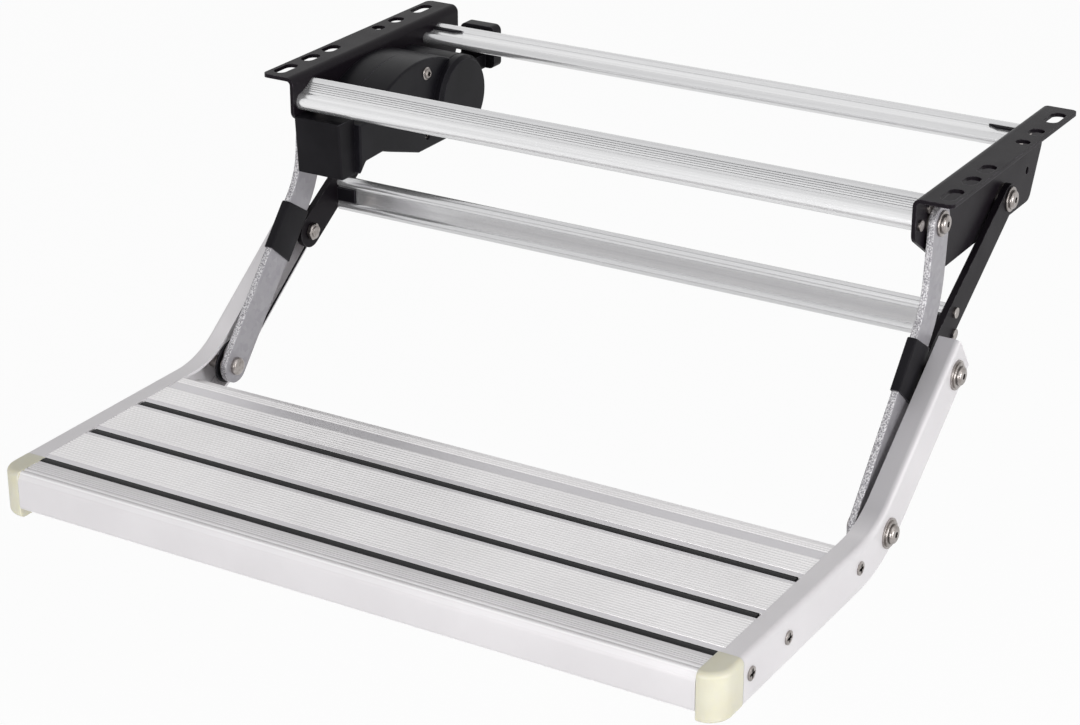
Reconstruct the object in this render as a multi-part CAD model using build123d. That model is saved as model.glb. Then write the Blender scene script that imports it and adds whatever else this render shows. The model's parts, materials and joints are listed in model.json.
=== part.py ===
from build123d import *
import math
import os

# Electric fold-out entry step of a caravan, shown with its tread swung out.
# Frame: the origin lies midway between the four end slots, on the tops of the mounting
# flanges. X runs to the front (the way the tread comes out), Y across the width and Z up.
# Side pieces are built on the +Y side and mirrored to the -Y side, which holds the drive.

os.makedirs("parts", exist_ok=True)

# Pivots in the X-Z plane with the tread swung out
FRONT_UPPER = (86.0, -26.5)
REAR_UPPER = (-44.0, -49.5)
FRONT_LOWER = (199.0, -213.5)
REAR_LOWER = (92.5, -135.0)

# Stack across the width, each value a thickness or a gap, from the middle outwards
WEB_Y = 261.0
BRACKET_T = 3.0
SPACER_T = 2.0
ARM_T = 5.0
ARM_TO_RIM = 1.6
RIM_PROUD = 2.4
RAIL_DEPTH = 16.5
RAIL_WALL = 2.5
SEAT_GAP = 0.3
RUNNING_GAP = 0.05
FIT_GAP = 0.1

WEB_OUT = WEB_Y + BRACKET_T
ARM_IN = WEB_OUT + SPACER_T
ARM_OUT = ARM_IN + ARM_T
RIM_IN = ARM_OUT + ARM_TO_RIM
RAIL_IN = RIM_IN + RIM_PROUD
RAIL_OUT = RAIL_IN + RAIL_DEPTH
RAIL_WEB_IN = RAIL_OUT - RAIL_WALL

# Brackets
FLANGE_W = 29.5
FLANGE_OUT = WEB_Y + FLANGE_W
FLANGE_FRONT = 117.0
FLANGE_REAR = -122.0
FLANGE_CORNER_R = 5.0
BEND_R = 3.0
WEB_SHOULDER_Z = -31.0
WEB_BOTTOM_Z = -70.0
WEB_TOE_X = 58.0
WEB_HEEL_X = -103.0
WEB_CORNER_R = 8.0
SLOT_TO_EDGE = 8.7
SLOT_Y = FLANGE_OUT - SLOT_TO_EDGE
SLOT_W = 11.0
END_SLOT_X = 97.0
END_SLOT_LEN = 25.0
MID_SLOT_XS = (63.5, 35.0)
MID_SLOT_LEN = 19.0
ROUND_HOLE_X = -33.0
SHORT_SLOT_X = -59.0
SHORT_SLOT_LEN = 16.0
SPARE_HOLE = (-94.5, -43.8)
SPARE_HOLE_R = 3.0

# Crossbars
BAR_LENGTH = 29.0
BEAD_R = 4.5
BAR_WEB_T = 4.0
PORT_OFFSET = 8.4
PORT_R = 1.9
PORT_BOSS_R = 3.6
NOSE_BEAD_R = 6.9
NOSE_BEAD_OFFSET = 5.3
HEEL_BEAD_R = 4.2
HEEL_OFFSET = 13.8
FRONT_BAR_TOP = 5.25
FRONT_BAR_WEB_T = 7.0
FRONT_BAR_GROOVES = 5
FRONT_BAR_GROOVE = 0.7
FRONT_BAR_GROOVE_PITCH = 2.1
FRONT_BAR_GROOVE_START = -10.0
FRONT_BAR = (101.5, -18.0)
FRONT_BAR_TILT = -30.0
REAR_BAR = (-82.0, -14.0)
REAR_BAR_TILT = -10.0
LOWER_BAR = (50.5, -115.0)
LOWER_BAR_TILT = 90.0
TAB_LENGTH = 17.0
SCREW_HEAD_R = 4.0
SCREW_HEAD_H = 1.6
SCREW_R = 1.8
SCREW_LENGTH = 16.0

# Arms
FRONT_ARM_W = 27.0
FRONT_ARM_BEND = (91.5, -88.0)
FRONT_ARM_BEND_R = 70.0
REAR_ARM_TOP_R = 11.5
REAR_ARM_END_R = 13.5
SLEEVE_START = 25.3
SLEEVE_LENGTH = 44.0
SLEEVE_FACE_T = 1.3
SLEEVE_EDGE_T = 1.6

# Pivot fasteners
BOLT_R = 5.0
BOLT_FLANGE_R = 9.5
BOLT_FLANGE_T = 1.5
BOLT_HEAD_R = 7.0
BOLT_HEAD_H = 4.5
BOLT_DIMPLE_R = 2.2
BOLT_DIMPLE_DEPTH = 1.0
RIVET_SOCKET_AF = 6.0
WASHER_R = 11.0
WASHER_T = 1.5
NUT_AF = 15.0
NUT_H = 5.0
INNER_NUT_H = 4.0

# Side rails
RAIL_H = 36.0
TREAD_TOP = -204.5
RAIL_FRONT_X = 418.0
RAIL_END_PAST_PIVOT = 18.0
RAIL_BEND_R = 95.0
RAIL_EDGE_R = 4.5
INSERT_WALL = 2.3
INSERT_BOSS_R = 10.0
RAIL_SCREW_DROP = 15.5
RAIL_SCREW_Z = TREAD_TOP - RAIL_SCREW_DROP
RAIL_SCREW_R = 2.4
RAIL_SCREW_HEAD_R = 5.0
RAIL_SCREW_HEAD_H = 2.5
RAIL_SCREW_LENGTH = 22.0

# Tread
PLANK_W = 50.3
GROOVE_W = 6.7
PLANK_H = 30.0
PLANK_WALL = 2.0
REAR_EDGE_X = 253.2
NOSE_X = 448.5
NOSE_R = 2.0
NOSE_TOE_R = 4.0
RIB_PITCH = 3.1
RIB_VALLEY_W = 1.4
RIB_DEPTH = 0.9
REAR_MARGIN = 3.6
FRONT_MARGIN = 7.2
REAR_BAND = (9.0, 20.0)
NOSE_RIBS = (4.2, 12.6)
NOSE_RIDGE_GAPS = (13.4, 17.6)
NOSE_RIDGE_END = 22.0
NOSE_STEP = 2.6
STRIP_TOP_DROP = 0.9
SHELF_DROP = 4.6
SHELF_T = 2.0
REAR_LUG_W = 16.7
REAR_LUG_X = REAR_EDGE_X - REAR_LUG_W
REAR_LUG_DROP = 8.0
REAR_LUG_TOP = TREAD_TOP - REAR_LUG_DROP
REAR_LUG_H = 16.0
RAIL_SCREW_XS = (408.0, 355.0, REAR_EDGE_X - REAR_LUG_W / 2)
CAP_IN = 273.0
CAP_DROP = 0.5
CAP_BOTTOM = TREAD_TOP - RAIL_H - CAP_DROP
CAP_CORNER_R = 16.0
CAP_EDGE_R = 2.0
CAP_TONGUE_LEN = 22.0
CAP_TONGUE_T = 2.5
CAP_TONGUE_H = 23.0

# Drive, on the inner face of the left bracket
DRIVE_OUT = -WEB_Y
DRIVE_SPLIT = -239.0
DRIVE_IN = -213.5
DRIVE_WALL = 2.5
ARCH_CENTRE = (8.0, -117.0)
ARCH_R = 110.0
ARCH_FRONT_X = 95.5
ARCH_REAR_X = -62.0
ARCH_BOTTOM_Z = -60.0
DRUM_R = 34.0
SKIRT_X = 12.0
SKIRT = ((52.0, -71.0), (64.0, -67.0), (88.0, -68.0), (ARCH_FRONT_X, -76.0))
SHOULDER_Z = -36.0
COVER_EDGE_R = 1.5
CAP_FACE_Y = -205.5
CAP_BEVEL = 3.0
CAP_SPIGOT_R = 28.0
CAP_SPIGOT_LEN = 5.0
BOX_FRONT_X = 117.0
BOX_LEAN = 3.0
BOX_TOP_Z = -31.0
BOX_BOTTOM_Z = -77.0
BOX_IN_Y = -219.0
BOX_R = 1.2
HOUSING_SCREWS = ((0.0, -19.6), (-1.0, -72.0))
BACK_SCREW = (87.0, -59.0)
HOUSING_BOSS_R = 6.5
HOUSING_SCREW_R = 2.0
HOUSING_SCREW_HEAD_R = 4.0
HOUSING_SCREW_RECESS = 4.0
SCREW_DEPTH_LEFT = 4.0
SHAFT_R = 8.0
SHAFT_INNER_Y = -209.0
SHAFT_HEAD_R = 10.5
SHAFT_HEAD_T = 3.0
BUSH_R = 10.5
BUSH_FLANGE_R = 13.0
WHEEL_TEETH = 24
TOOTH_H = 2.0
TOOTH_SHARE = 0.7
TOOTH_FLANK = 75.0
WHEEL_T = 14.0
WORM_TILT = 12.0
WORM_DISTANCE = 24.0
WORM_R = 6.0
WHEEL_TIP_R = WORM_DISTANCE - WORM_R - SEAT_GAP
WORM_ROOT_R = 4.2
WORM_LENGTH = 14.0
WORM_SHAFT_R = 2.5
WORM_SHAFT_TAIL = 12.0
MOTOR_START = 52.0
MOTOR_LENGTH = 50.0
MOTOR_H = 35.0
MOTOR_CORNER_R = 14.0
MOTOR_GAP = 0.2
MOTOR_NOSE_R = 7.0
MOTOR_NOSE_LEN = 5.0
INLET_X = (-112.0, -101.0)
INLET_Y = (-245.0, -212.0)
INLET_Z = (-43.0, -7.0)
INLET_R = 5.0
INLET_NECK_H = 12.0
INLET_NECK_Y = (-241.0, -221.0)
INLET_BORE_R = 3.5


def flat(profile, y_from, y_to):
    """A flat piece: an outline drawn in X and Z, thickened from one Y to the other."""
    plane = Plane(origin=(0, y_from, 0), x_dir=(1, 0, 0), z_dir=(0, -1, 0))
    return extrude(plane * profile, amount=y_to - y_from, dir=(0, 1, 0))


def disc(at, radius, y_from, y_to):
    """A round bar along Y, centred on a point of the X-Z plane."""
    return flat(Pos(*at) * Circle(radius), y_from, y_to)


def ring(at, outer, inner, y_from, y_to):
    """A washer or tube along Y."""
    return flat(Pos(*at) * (Circle(outer) - Circle(inner)), y_from, y_to)


def hexagon(at, across_flats, y_from, y_to):
    """A hexagonal bar along Y."""
    outline = RegularPolygon(across_flats / 2, 6, major_radius=False)
    return flat(Pos(*at) * outline, y_from, y_to)


def mirrored(piece):
    """The same piece on the other side of the step."""
    return mirror(piece, about=Plane.XZ)


def save(name, *pieces):
    """Write one node, made of one solid or of a group of like solids."""
    solids = [solid for piece in pieces for solid in piece.solids()]
    shape = solids[0] if len(solids) == 1 else Compound(children=solids)
    shape.label = name
    export_step(shape, f"parts/{name}.step")


def save_pair(name, right_piece):
    """Write a side piece and its mirror image as two nodes."""
    save(f"right_{name}", right_piece)
    save(f"left_{name}", mirrored(right_piece))


def save_both(name, *right_pieces):
    """Write like fasteners of both sides as one node."""
    save(name, *right_pieces, *[mirrored(piece) for piece in right_pieces])


def along(start, end, distance):
    """The point at a distance from start on the way to end."""
    dx, dz = end[0] - start[0], end[1] - start[1]
    length = math.hypot(dx, dz)
    return (start[0] + dx * distance / length, start[1] + dz * distance / length)


def bolt(at, y_head, y_end):
    """A right-hand pivot bolt: a flanged, domed head with a dimple, and a plain shank along Y."""
    y_top = y_head + BOLT_HEAD_H
    head = disc(at, BOLT_HEAD_R, y_head, y_top)
    rim = head.edges().filter_by(GeomType.CIRCLE).group_by(Axis.Y)[-1]
    head = fillet(rim, BOLT_HEAD_H / 2) - disc(at, BOLT_DIMPLE_R, y_top - BOLT_DIMPLE_DEPTH, y_top)
    flange = disc(at, BOLT_FLANGE_R, y_head, y_head + BOLT_FLANGE_T)
    rim = flange.edges().filter_by(GeomType.CIRCLE).group_by(Axis.Y)[-1]
    return head + fillet(rim, BOLT_FLANGE_T / 2) + disc(at, BOLT_R, y_end, y_head)


def nut(at, y_from, y_to):
    """A hexagon nut on a bolt's shank."""
    return hexagon(at, NUT_AF, y_from, y_to) - disc(at, BOLT_R, y_from, y_to)


def rotated(offset, tilt, at):
    """A point given along a tilted bar, as a point of the X-Z plane."""
    angle = math.radians(tilt)
    return (at[0] + offset * math.cos(angle), at[1] + offset * math.sin(angle))


# Brackets
def bar_screw_points(at, tilt):
    """Centres of a crossbar's two screws."""
    return [rotated(side * PORT_OFFSET, tilt, at) for side in (1, -1)]


def web_outline():
    """Side view of a bracket's web."""
    corners = [
        (FLANGE_FRONT, 0),
        (FLANGE_FRONT, WEB_SHOULDER_Z),
        (WEB_TOE_X, WEB_BOTTOM_Z),
        (WEB_HEEL_X, WEB_BOTTOM_Z),
        (FLANGE_REAR, WEB_SHOULDER_Z),
        (FLANGE_REAR, 0),
    ]
    outline = make_face(Polyline(*corners, close=True))
    lower = outline.vertices().filter_by(lambda v: v.Y < WEB_SHOULDER_Z / 2)
    return fillet(lower, WEB_CORNER_R)


def flange_slots():
    """The row of slots in a flange, as one cutter."""
    slots = [Pos(side * END_SLOT_X, SLOT_Y) * SlotOverall(END_SLOT_LEN, SLOT_W) for side in (1, -1)]
    slots += [Pos(x, SLOT_Y) * SlotOverall(MID_SLOT_LEN, SLOT_W) for x in MID_SLOT_XS]
    slots += [Pos(SHORT_SLOT_X, SLOT_Y) * SlotOverall(SHORT_SLOT_LEN, SLOT_W)]
    slots += [Pos(ROUND_HOLE_X, SLOT_Y) * Circle(SLOT_W / 2)]
    return extrude(Sketch() + slots, amount=BRACKET_T, both=True)


def bracket():
    """A bent sheet angle: a web for the pivots and an outward flange to bolt under the floor."""
    section = Polyline(
        (WEB_Y, WEB_BOTTOM_Z),
        (WEB_Y, 0),
        (FLANGE_OUT, 0),
        (FLANGE_OUT, -BRACKET_T),
        (WEB_OUT, -BRACKET_T),
        (WEB_OUT, WEB_BOTTOM_Z),
        close=True,
    )
    section = make_face(section)
    outer = section.vertices().sort_by_distance((WEB_Y, 0))[0]
    section = fillet(outer, BEND_R + BRACKET_T)
    inner = section.vertices().sort_by_distance((WEB_OUT, -BRACKET_T))[0]
    section = fillet(inner, BEND_R)
    sheet = extrude(Plane.YZ * section, amount=2 * FLANGE_FRONT, both=True)
    sheet = sheet & flat(web_outline(), WEB_Y, FLANGE_OUT)
    corners = sheet.edges().filter_by(Axis.Z).group_by(Axis.Y)[-1]
    sheet = fillet(corners, FLANGE_CORNER_R) - flange_slots()
    holes = [disc(FRONT_UPPER, BOLT_R + FIT_GAP, WEB_Y, WEB_OUT)]
    holes += [disc(SPARE_HOLE, SPARE_HOLE_R, WEB_Y, WEB_OUT)]
    for at, tilt in ((FRONT_BAR, FRONT_BAR_TILT), (REAR_BAR, REAR_BAR_TILT)):
        for point in bar_screw_points(at, tilt):
            holes.append(disc(point, SCREW_R + FIT_GAP, WEB_Y, WEB_OUT))
    return sheet - holes


def brackets():
    """The right bracket carries a pivot bolt at the rear, the left one the drive's shaft."""
    right = bracket() - disc(REAR_UPPER, BOLT_R + FIT_GAP, WEB_Y, WEB_OUT)
    left = mirrored(bracket()) - disc(REAR_UPPER, BUSH_R, -WEB_OUT, -WEB_Y)
    left -= [disc(at, HOUSING_SCREW_R + FIT_GAP, -WEB_OUT, -WEB_Y) for at in HOUSING_SCREWS]
    save("right_bracket", right)
    save("left_bracket", left)


# Crossbars
def bar_section():
    """Section of the plain crossbar: two beads with a screw port each, joined by a thin web."""
    bead_offset = BAR_LENGTH / 2 - BEAD_R
    section = Rectangle(2 * bead_offset, BAR_WEB_T)
    for side in (1, -1):
        section += Pos(side * bead_offset, 0) * Circle(BEAD_R)
    return section - [Pos(side * PORT_OFFSET, 0) * Circle(PORT_R) for side in (1, -1)]


def front_bar_section():
    """Section of the front crossbar: a grooved flat top between a heel and one large front bead."""
    section = Pos(-HEEL_OFFSET, FRONT_BAR_TOP - HEEL_BEAD_R) * Circle(HEEL_BEAD_R)
    section += Pos(NOSE_BEAD_OFFSET, 0) * Circle(NOSE_BEAD_R)
    section += Pos(-PORT_OFFSET, 0) * Circle(PORT_BOSS_R)
    flat_length = NOSE_BEAD_OFFSET + HEEL_OFFSET
    middle = (NOSE_BEAD_OFFSET - HEEL_OFFSET) / 2
    section += Pos(middle, FRONT_BAR_TOP - FRONT_BAR_WEB_T / 2) * Rectangle(flat_length, FRONT_BAR_WEB_T)
    for index in range(FRONT_BAR_GROOVES):
        centre = (FRONT_BAR_GROOVE_START + index * FRONT_BAR_GROOVE_PITCH, FRONT_BAR_TOP)
        section -= Pos(*centre) * Rectangle(FRONT_BAR_GROOVE, 2 * FRONT_BAR_GROOVE)
    return section - [Pos(side * PORT_OFFSET, 0) * Circle(PORT_R) for side in (1, -1)]


def crossbar(section, at, tilt, half_length):
    """A crossbar's section, tilted in its place and run across the step."""
    return flat(Pos(*at) * Rot(0, 0, tilt) * section, -half_length, half_length)


def bar_screw(at, y_seat):
    """A low-headed screw that goes into the port of a crossbar."""
    head = disc(at, SCREW_HEAD_R, y_seat, y_seat + SCREW_HEAD_H)
    return head + disc(at, SCREW_R, y_seat - SCREW_LENGTH, y_seat)


def bar_tab(at, tilt, side, y_end):
    """A moulded tab between the beads at the right end of a crossbar, on one face of its web."""
    depth = BEAD_R - BAR_WEB_T / 2
    height = BAR_LENGTH - 4 * BEAD_R
    block = Pos(0, side * (BAR_WEB_T + depth) / 2) * Rectangle(height, depth)
    return flat(Pos(*at) * Rot(0, 0, tilt) * block, y_end - TAB_LENGTH, y_end)


def crossbars():
    """The two crossbars of the mounting frame and the one between the rear arms."""
    save("front_crossbar", crossbar(front_bar_section(), FRONT_BAR, FRONT_BAR_TILT, WEB_Y))
    save("rear_crossbar", crossbar(bar_section(), REAR_BAR, REAR_BAR_TILT, WEB_Y))
    save("lower_crossbar", crossbar(bar_section(), LOWER_BAR, LOWER_BAR_TILT, ARM_IN))
    points = bar_screw_points(FRONT_BAR, FRONT_BAR_TILT) + bar_screw_points(REAR_BAR, REAR_BAR_TILT)
    save_both("frame_screws", *[bar_screw(point, WEB_OUT) for point in points])
    lower = bar_screw_points(LOWER_BAR, LOWER_BAR_TILT)
    save_both("lower_crossbar_screws", *[bar_screw(point, ARM_OUT) for point in lower])
    save_pair("bar_tab", bar_tab(LOWER_BAR, LOWER_BAR_TILT, -1, ARM_IN))
    save_pair("rear_bar_tab", bar_tab(REAR_BAR, REAR_BAR_TILT, 1, WEB_Y))


# Arms
def front_arm_outline():
    """Side view of a front arm: a band with one wide bend and round ends."""
    line = FilletPolyline(FRONT_UPPER, FRONT_ARM_BEND, FRONT_LOWER, radius=FRONT_ARM_BEND_R)
    band = trace(line, line_width=FRONT_ARM_W)
    for end in (FRONT_UPPER, FRONT_LOWER):
        band += Pos(*end) * Circle(FRONT_ARM_W / 2)
    return band


def sleeve(arm):
    """A plastic sleeve pushed over the front arm, which the rear arm's end comes to rest on."""
    middle = along(FRONT_ARM_BEND, FRONT_LOWER, SLEEVE_START + SLEEVE_LENGTH / 2)
    dx, dz = FRONT_LOWER[0] - FRONT_ARM_BEND[0], FRONT_LOWER[1] - FRONT_ARM_BEND[1]
    tilt = math.degrees(math.atan2(dz, dx))
    block = Pos(*middle) * Rot(0, 0, tilt) * Rectangle(SLEEVE_LENGTH, FRONT_ARM_W + 2 * SLEEVE_EDGE_T)
    return flat(block, ARM_IN - SLEEVE_FACE_T, ARM_OUT + SLEEVE_FACE_T) - arm


def front_arms():
    """Front arms with their sleeves, and the rivets that close their lower holes."""
    hole = BOLT_R + RUNNING_GAP
    arm = flat(front_arm_outline(), ARM_IN, ARM_OUT)
    arm -= disc(FRONT_UPPER, hole, ARM_IN, ARM_OUT)
    arm -= disc(FRONT_LOWER, hole, ARM_IN, ARM_OUT)
    save_pair("front_arm", arm)
    save_pair("arm_sleeve", sleeve(flat(front_arm_outline(), ARM_IN, ARM_OUT)))
    rivet = disc(FRONT_LOWER, BOLT_R, ARM_IN, ARM_OUT)
    rivet += disc(FRONT_LOWER, BOLT_HEAD_R, ARM_IN - INNER_NUT_H, ARM_IN)
    rivet -= hexagon(FRONT_LOWER, RIVET_SOCKET_AF, ARM_IN - INNER_NUT_H, ARM_IN)
    save_pair("arm_rivet", rivet)


def rear_arm(top_hole_r):
    """A straight rear arm that widens to its lower pivot."""
    ends = (Pos(*REAR_UPPER) * Circle(REAR_ARM_TOP_R)).edges()
    ends += (Pos(*REAR_LOWER) * Circle(REAR_ARM_END_R)).edges()
    arm = flat(make_hull(ends), ARM_IN, ARM_OUT)
    arm -= disc(REAR_UPPER, top_hole_r, ARM_IN, ARM_OUT)
    arm -= disc(REAR_LOWER, BOLT_R + RUNNING_GAP, ARM_IN, ARM_OUT)
    for point in bar_screw_points(LOWER_BAR, LOWER_BAR_TILT):
        arm -= disc(point, SCREW_R + FIT_GAP, ARM_IN, ARM_OUT)
    return arm


def rear_arms():
    """The right arm turns on a bolt, the left one is carried and turned by the drive's shaft."""
    save("right_rear_arm", rear_arm(BOLT_R + RUNNING_GAP))
    save("left_rear_arm", mirrored(rear_arm(SHAFT_R)))


def upper_fasteners():
    """Bolts, washers and nuts of the three pivots that turn on bolts in the brackets."""
    head_y = ARM_OUT + SEAT_GAP
    right_points = (FRONT_UPPER, REAR_UPPER)
    bolts = [bolt(at, head_y, WEB_Y - NUT_H) for at in right_points]
    washers = [ring(at, WASHER_R, BOLT_R + FIT_GAP, WEB_OUT, ARM_IN - SEAT_GAP) for at in right_points]
    nuts = [nut(at, WEB_Y - NUT_H, WEB_Y) for at in right_points]
    save("upper_pivot_bolts", *bolts, mirrored(bolts[0]))
    save("upper_pivot_washers", *washers, mirrored(washers[0]))
    save("upper_pivot_nuts", *nuts, mirrored(nuts[0]))


def lower_fasteners():
    """Bolts of the lower pivots: the rear ones run through the arms, the front ones stop short."""
    seat = RAIL_OUT + WASHER_T
    inner_seat = ARM_IN - SEAT_GAP
    rear_bolt = bolt(REAR_LOWER, seat, inner_seat - INNER_NUT_H)
    front_bolt = bolt(FRONT_LOWER, seat, RIM_IN)
    save_both("rear_tread_bolts", rear_bolt)
    save_both("front_tread_bolts", front_bolt)
    washers = [ring(at, WASHER_R, BOLT_R + FIT_GAP, RAIL_OUT, seat) for at in (REAR_LOWER, FRONT_LOWER)]
    save_both("tread_bolt_washers", *washers)
    save_both("rear_tread_nuts", nut(REAR_LOWER, inner_seat - INNER_NUT_H, inner_seat))


# Side rails
def rail_points():
    """Corners of a rail's centre line, from its upper end to its front end."""
    centre_z = TREAD_TOP - RAIL_H / 2
    upper = along(REAR_LOWER, FRONT_LOWER, -RAIL_END_PAST_PIVOT)
    slope = (FRONT_LOWER[1] - REAR_LOWER[1]) / (FRONT_LOWER[0] - REAR_LOWER[0])
    knee = (FRONT_LOWER[0] + (centre_z - FRONT_LOWER[1]) / slope, centre_z)
    return upper, knee, (RAIL_FRONT_X, centre_z)


def rail_band(width):
    """Side view of the rail's whole run at a given width."""
    upper, knee, front = rail_points()
    return trace(FilletPolyline(upper, knee, front, radius=RAIL_BEND_R), line_width=width)


def rail():
    """A bent channel with its web outwards and its flanges towards the tread."""
    body = flat(rail_band(RAIL_H), RAIL_IN, RAIL_OUT)
    outer_edges = body.edges().group_by(Axis.Y)[-1]
    long_edges = outer_edges.filter_by(lambda edge: abs(edge.length - RAIL_H) > FIT_GAP)
    body = fillet(long_edges, RAIL_EDGE_R)
    body -= flat(rail_band(RAIL_H - 2 * RAIL_WALL), RAIL_IN, RAIL_WEB_IN)
    holes = [disc((x, RAIL_SCREW_Z), RAIL_SCREW_R + FIT_GAP, RAIL_WEB_IN, RAIL_OUT) for x in RAIL_SCREW_XS]
    holes += [disc(at, BOLT_R + FIT_GAP, RAIL_WEB_IN, RAIL_OUT) for at in (FRONT_LOWER, REAR_LOWER)]
    return body - holes


def insert_band(width, end_trim, y_from, y_to):
    """A stretch of the rail's run from its upper end to a round end at the front lower pivot."""
    start = along(rail_points()[0], FRONT_LOWER, end_trim)
    dx, dz = FRONT_LOWER[0] - start[0], FRONT_LOWER[1] - start[1]
    length = math.hypot(dx, dz)
    middle = along(start, FRONT_LOWER, length / 2)
    window = Pos(*middle) * Rot(0, 0, math.degrees(math.atan2(dz, dx))) * Rectangle(length, 2 * RAIL_H)
    region = flat(window, y_from, y_to) + disc(FRONT_LOWER, width / 2, y_from, y_to)
    return flat(rail_band(width), y_from, y_to) & region


def rail_insert():
    """A moulded loop inside the rail: a rim on the flange edges, and a boss at each pivot."""
    body_w = RAIL_H - 2 * RAIL_WALL - 2 * FIT_GAP
    hollow_w = body_w - 2 * INSERT_WALL
    body = insert_band(body_w, FIT_GAP, RAIL_IN, RAIL_WEB_IN)
    body += insert_band(RAIL_H, 0, RIM_IN, RAIL_IN)
    body -= insert_band(hollow_w, INSERT_WALL, RIM_IN, RAIL_WEB_IN)
    dx, dz = FRONT_LOWER[0] - REAR_LOWER[0], FRONT_LOWER[1] - REAR_LOWER[1]
    turn = Rot(0, 0, math.degrees(math.atan2(dz, dx)))
    for at in (FRONT_LOWER, REAR_LOWER):
        rib = Pos(*at) * turn * Rectangle(INSERT_WALL, hollow_w + INSERT_WALL / 2)
        body += flat(rib, RAIL_IN, RAIL_WEB_IN) + disc(at, INSERT_BOSS_R, RIM_IN, RAIL_WEB_IN)
    return body - [disc(at, BOLT_R + FIT_GAP, RIM_IN, RAIL_WEB_IN) for at in (FRONT_LOWER, REAR_LOWER)]


def rail_screw(x):
    """A pan-headed screw with a crossed recess, through the rail's web into a plank."""
    at = (x, RAIL_SCREW_Z)
    head = disc(at, RAIL_SCREW_HEAD_R, RAIL_OUT, RAIL_OUT + RAIL_SCREW_HEAD_H)
    rim = head.edges().filter_by(GeomType.CIRCLE).group_by(Axis.Y)[-1]
    head = fillet(rim, RAIL_SCREW_HEAD_H / 2)
    cross = Rectangle(RAIL_SCREW_HEAD_R, RAIL_SCREW_HEAD_R / 4)
    cross += Rot(0, 0, 90) * cross
    head -= flat(Pos(*at) * cross, RAIL_OUT + RAIL_SCREW_HEAD_H / 2, RAIL_OUT + RAIL_SCREW_HEAD_H)
    return head + disc(at, RAIL_SCREW_R, RAIL_OUT - RAIL_SCREW_LENGTH, RAIL_OUT)


def rails():
    """Rails, their inserts and the screws that hold the planks."""
    save_pair("rail", rail())
    save_pair("rail_insert", rail_insert())
    save_both("rail_screws", *[rail_screw(x) for x in RAIL_SCREW_XS])


# Tread
def box(x_from, x_to, z_from, z_to):
    """A rectangle in the X-Z plane from its edges."""
    middle = ((x_from + x_to) / 2, (z_from + z_to) / 2)
    return Pos(*middle) * Rectangle(x_to - x_from, z_to - z_from)


def rib_valleys(x_from, x_to):
    """The valleys between a plank's grip ribs, spread evenly over its width."""
    count = int((x_to - x_from) / RIB_PITCH)
    first = (x_from + x_to - (count - 1) * RIB_PITCH) / 2
    valley = Rectangle(RIB_VALLEY_W, 2 * RIB_DEPTH)
    return [Pos(first + index * RIB_PITCH, TREAD_TOP) * valley for index in range(count)]


def plank_section(x_rear, port_x):
    """Section of a hollow plank with grip ribs, a screw port and lips under the strip before it."""
    x_front = x_rear + PLANK_W
    bottom = TREAD_TOP - PLANK_H
    ceiling = TREAD_TOP - RIB_DEPTH - PLANK_WALL
    section = box(x_rear, x_front, bottom, TREAD_TOP)
    section -= box(x_rear + PLANK_WALL, x_front - PLANK_WALL, bottom + PLANK_WALL, ceiling)
    if x_rear < port_x < x_front:
        section += box(port_x - PLANK_WALL / 2, port_x + PLANK_WALL / 2, bottom, ceiling)
        section += Pos(port_x, RAIL_SCREW_Z) * Circle(RAIL_SCREW_R + PLANK_WALL)
    else:
        lug = box(REAR_LUG_X, x_rear, REAR_LUG_TOP - REAR_LUG_H, REAR_LUG_TOP)
        lug_walls = (REAR_LUG_X + PLANK_WALL, x_rear)
        lug -= box(*lug_walls, REAR_LUG_TOP - REAR_LUG_H + PLANK_WALL, REAR_LUG_TOP - PLANK_WALL)
        section += lug + Pos(port_x, RAIL_SCREW_Z) * Circle(RAIL_SCREW_R + PLANK_WALL)
        section += box(REAR_LUG_X, x_rear, RAIL_SCREW_Z - PLANK_WALL / 2, RAIL_SCREW_Z + PLANK_WALL / 2)
    section -= Pos(port_x, RAIL_SCREW_Z) * Circle(RAIL_SCREW_R + FIT_GAP)
    shelf_top = TREAD_TOP - SHELF_DROP
    section += box(x_front, x_front + GROOVE_W, shelf_top - SHELF_T, shelf_top)
    section += box(x_front, x_front + GROOVE_W, bottom, bottom + PLANK_WALL)
    if x_rear > REAR_EDGE_X:
        return section - rib_valleys(x_rear + REAR_MARGIN, x_front - FRONT_MARGIN)
    section -= rib_valleys(x_rear, x_rear + REAR_BAND[0])
    return section - rib_valleys(x_rear + REAR_BAND[1], x_front - FRONT_MARGIN)


def plank(x_rear, port_x, end_y):
    """A plank whose ends reach into the rails, cut back under their flanges and at the end caps."""
    body = flat(plank_section(x_rear, port_x), -end_y, end_y)
    under_flange = TREAD_TOP - RAIL_WALL - FIT_GAP
    x_lip = x_rear + PLANK_W + GROOVE_W
    cuts = [flat(box(REAR_LUG_X, x_lip, under_flange, TREAD_TOP), RAIL_IN - FIT_GAP, end_y)]
    if x_lip > RAIL_FRONT_X:
        cuts.append(flat(box(x_rear + PLANK_W, x_lip, CAP_BOTTOM, TREAD_TOP), CAP_IN, end_y))
    return body - [*cuts, *[mirrored(cut) for cut in cuts]]


def nosing_x():
    """Rear face of the nosing, worked out from the planks behind it."""
    return REAR_EDGE_X + len(RAIL_SCREW_XS) * (PLANK_W + GROOVE_W)


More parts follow.
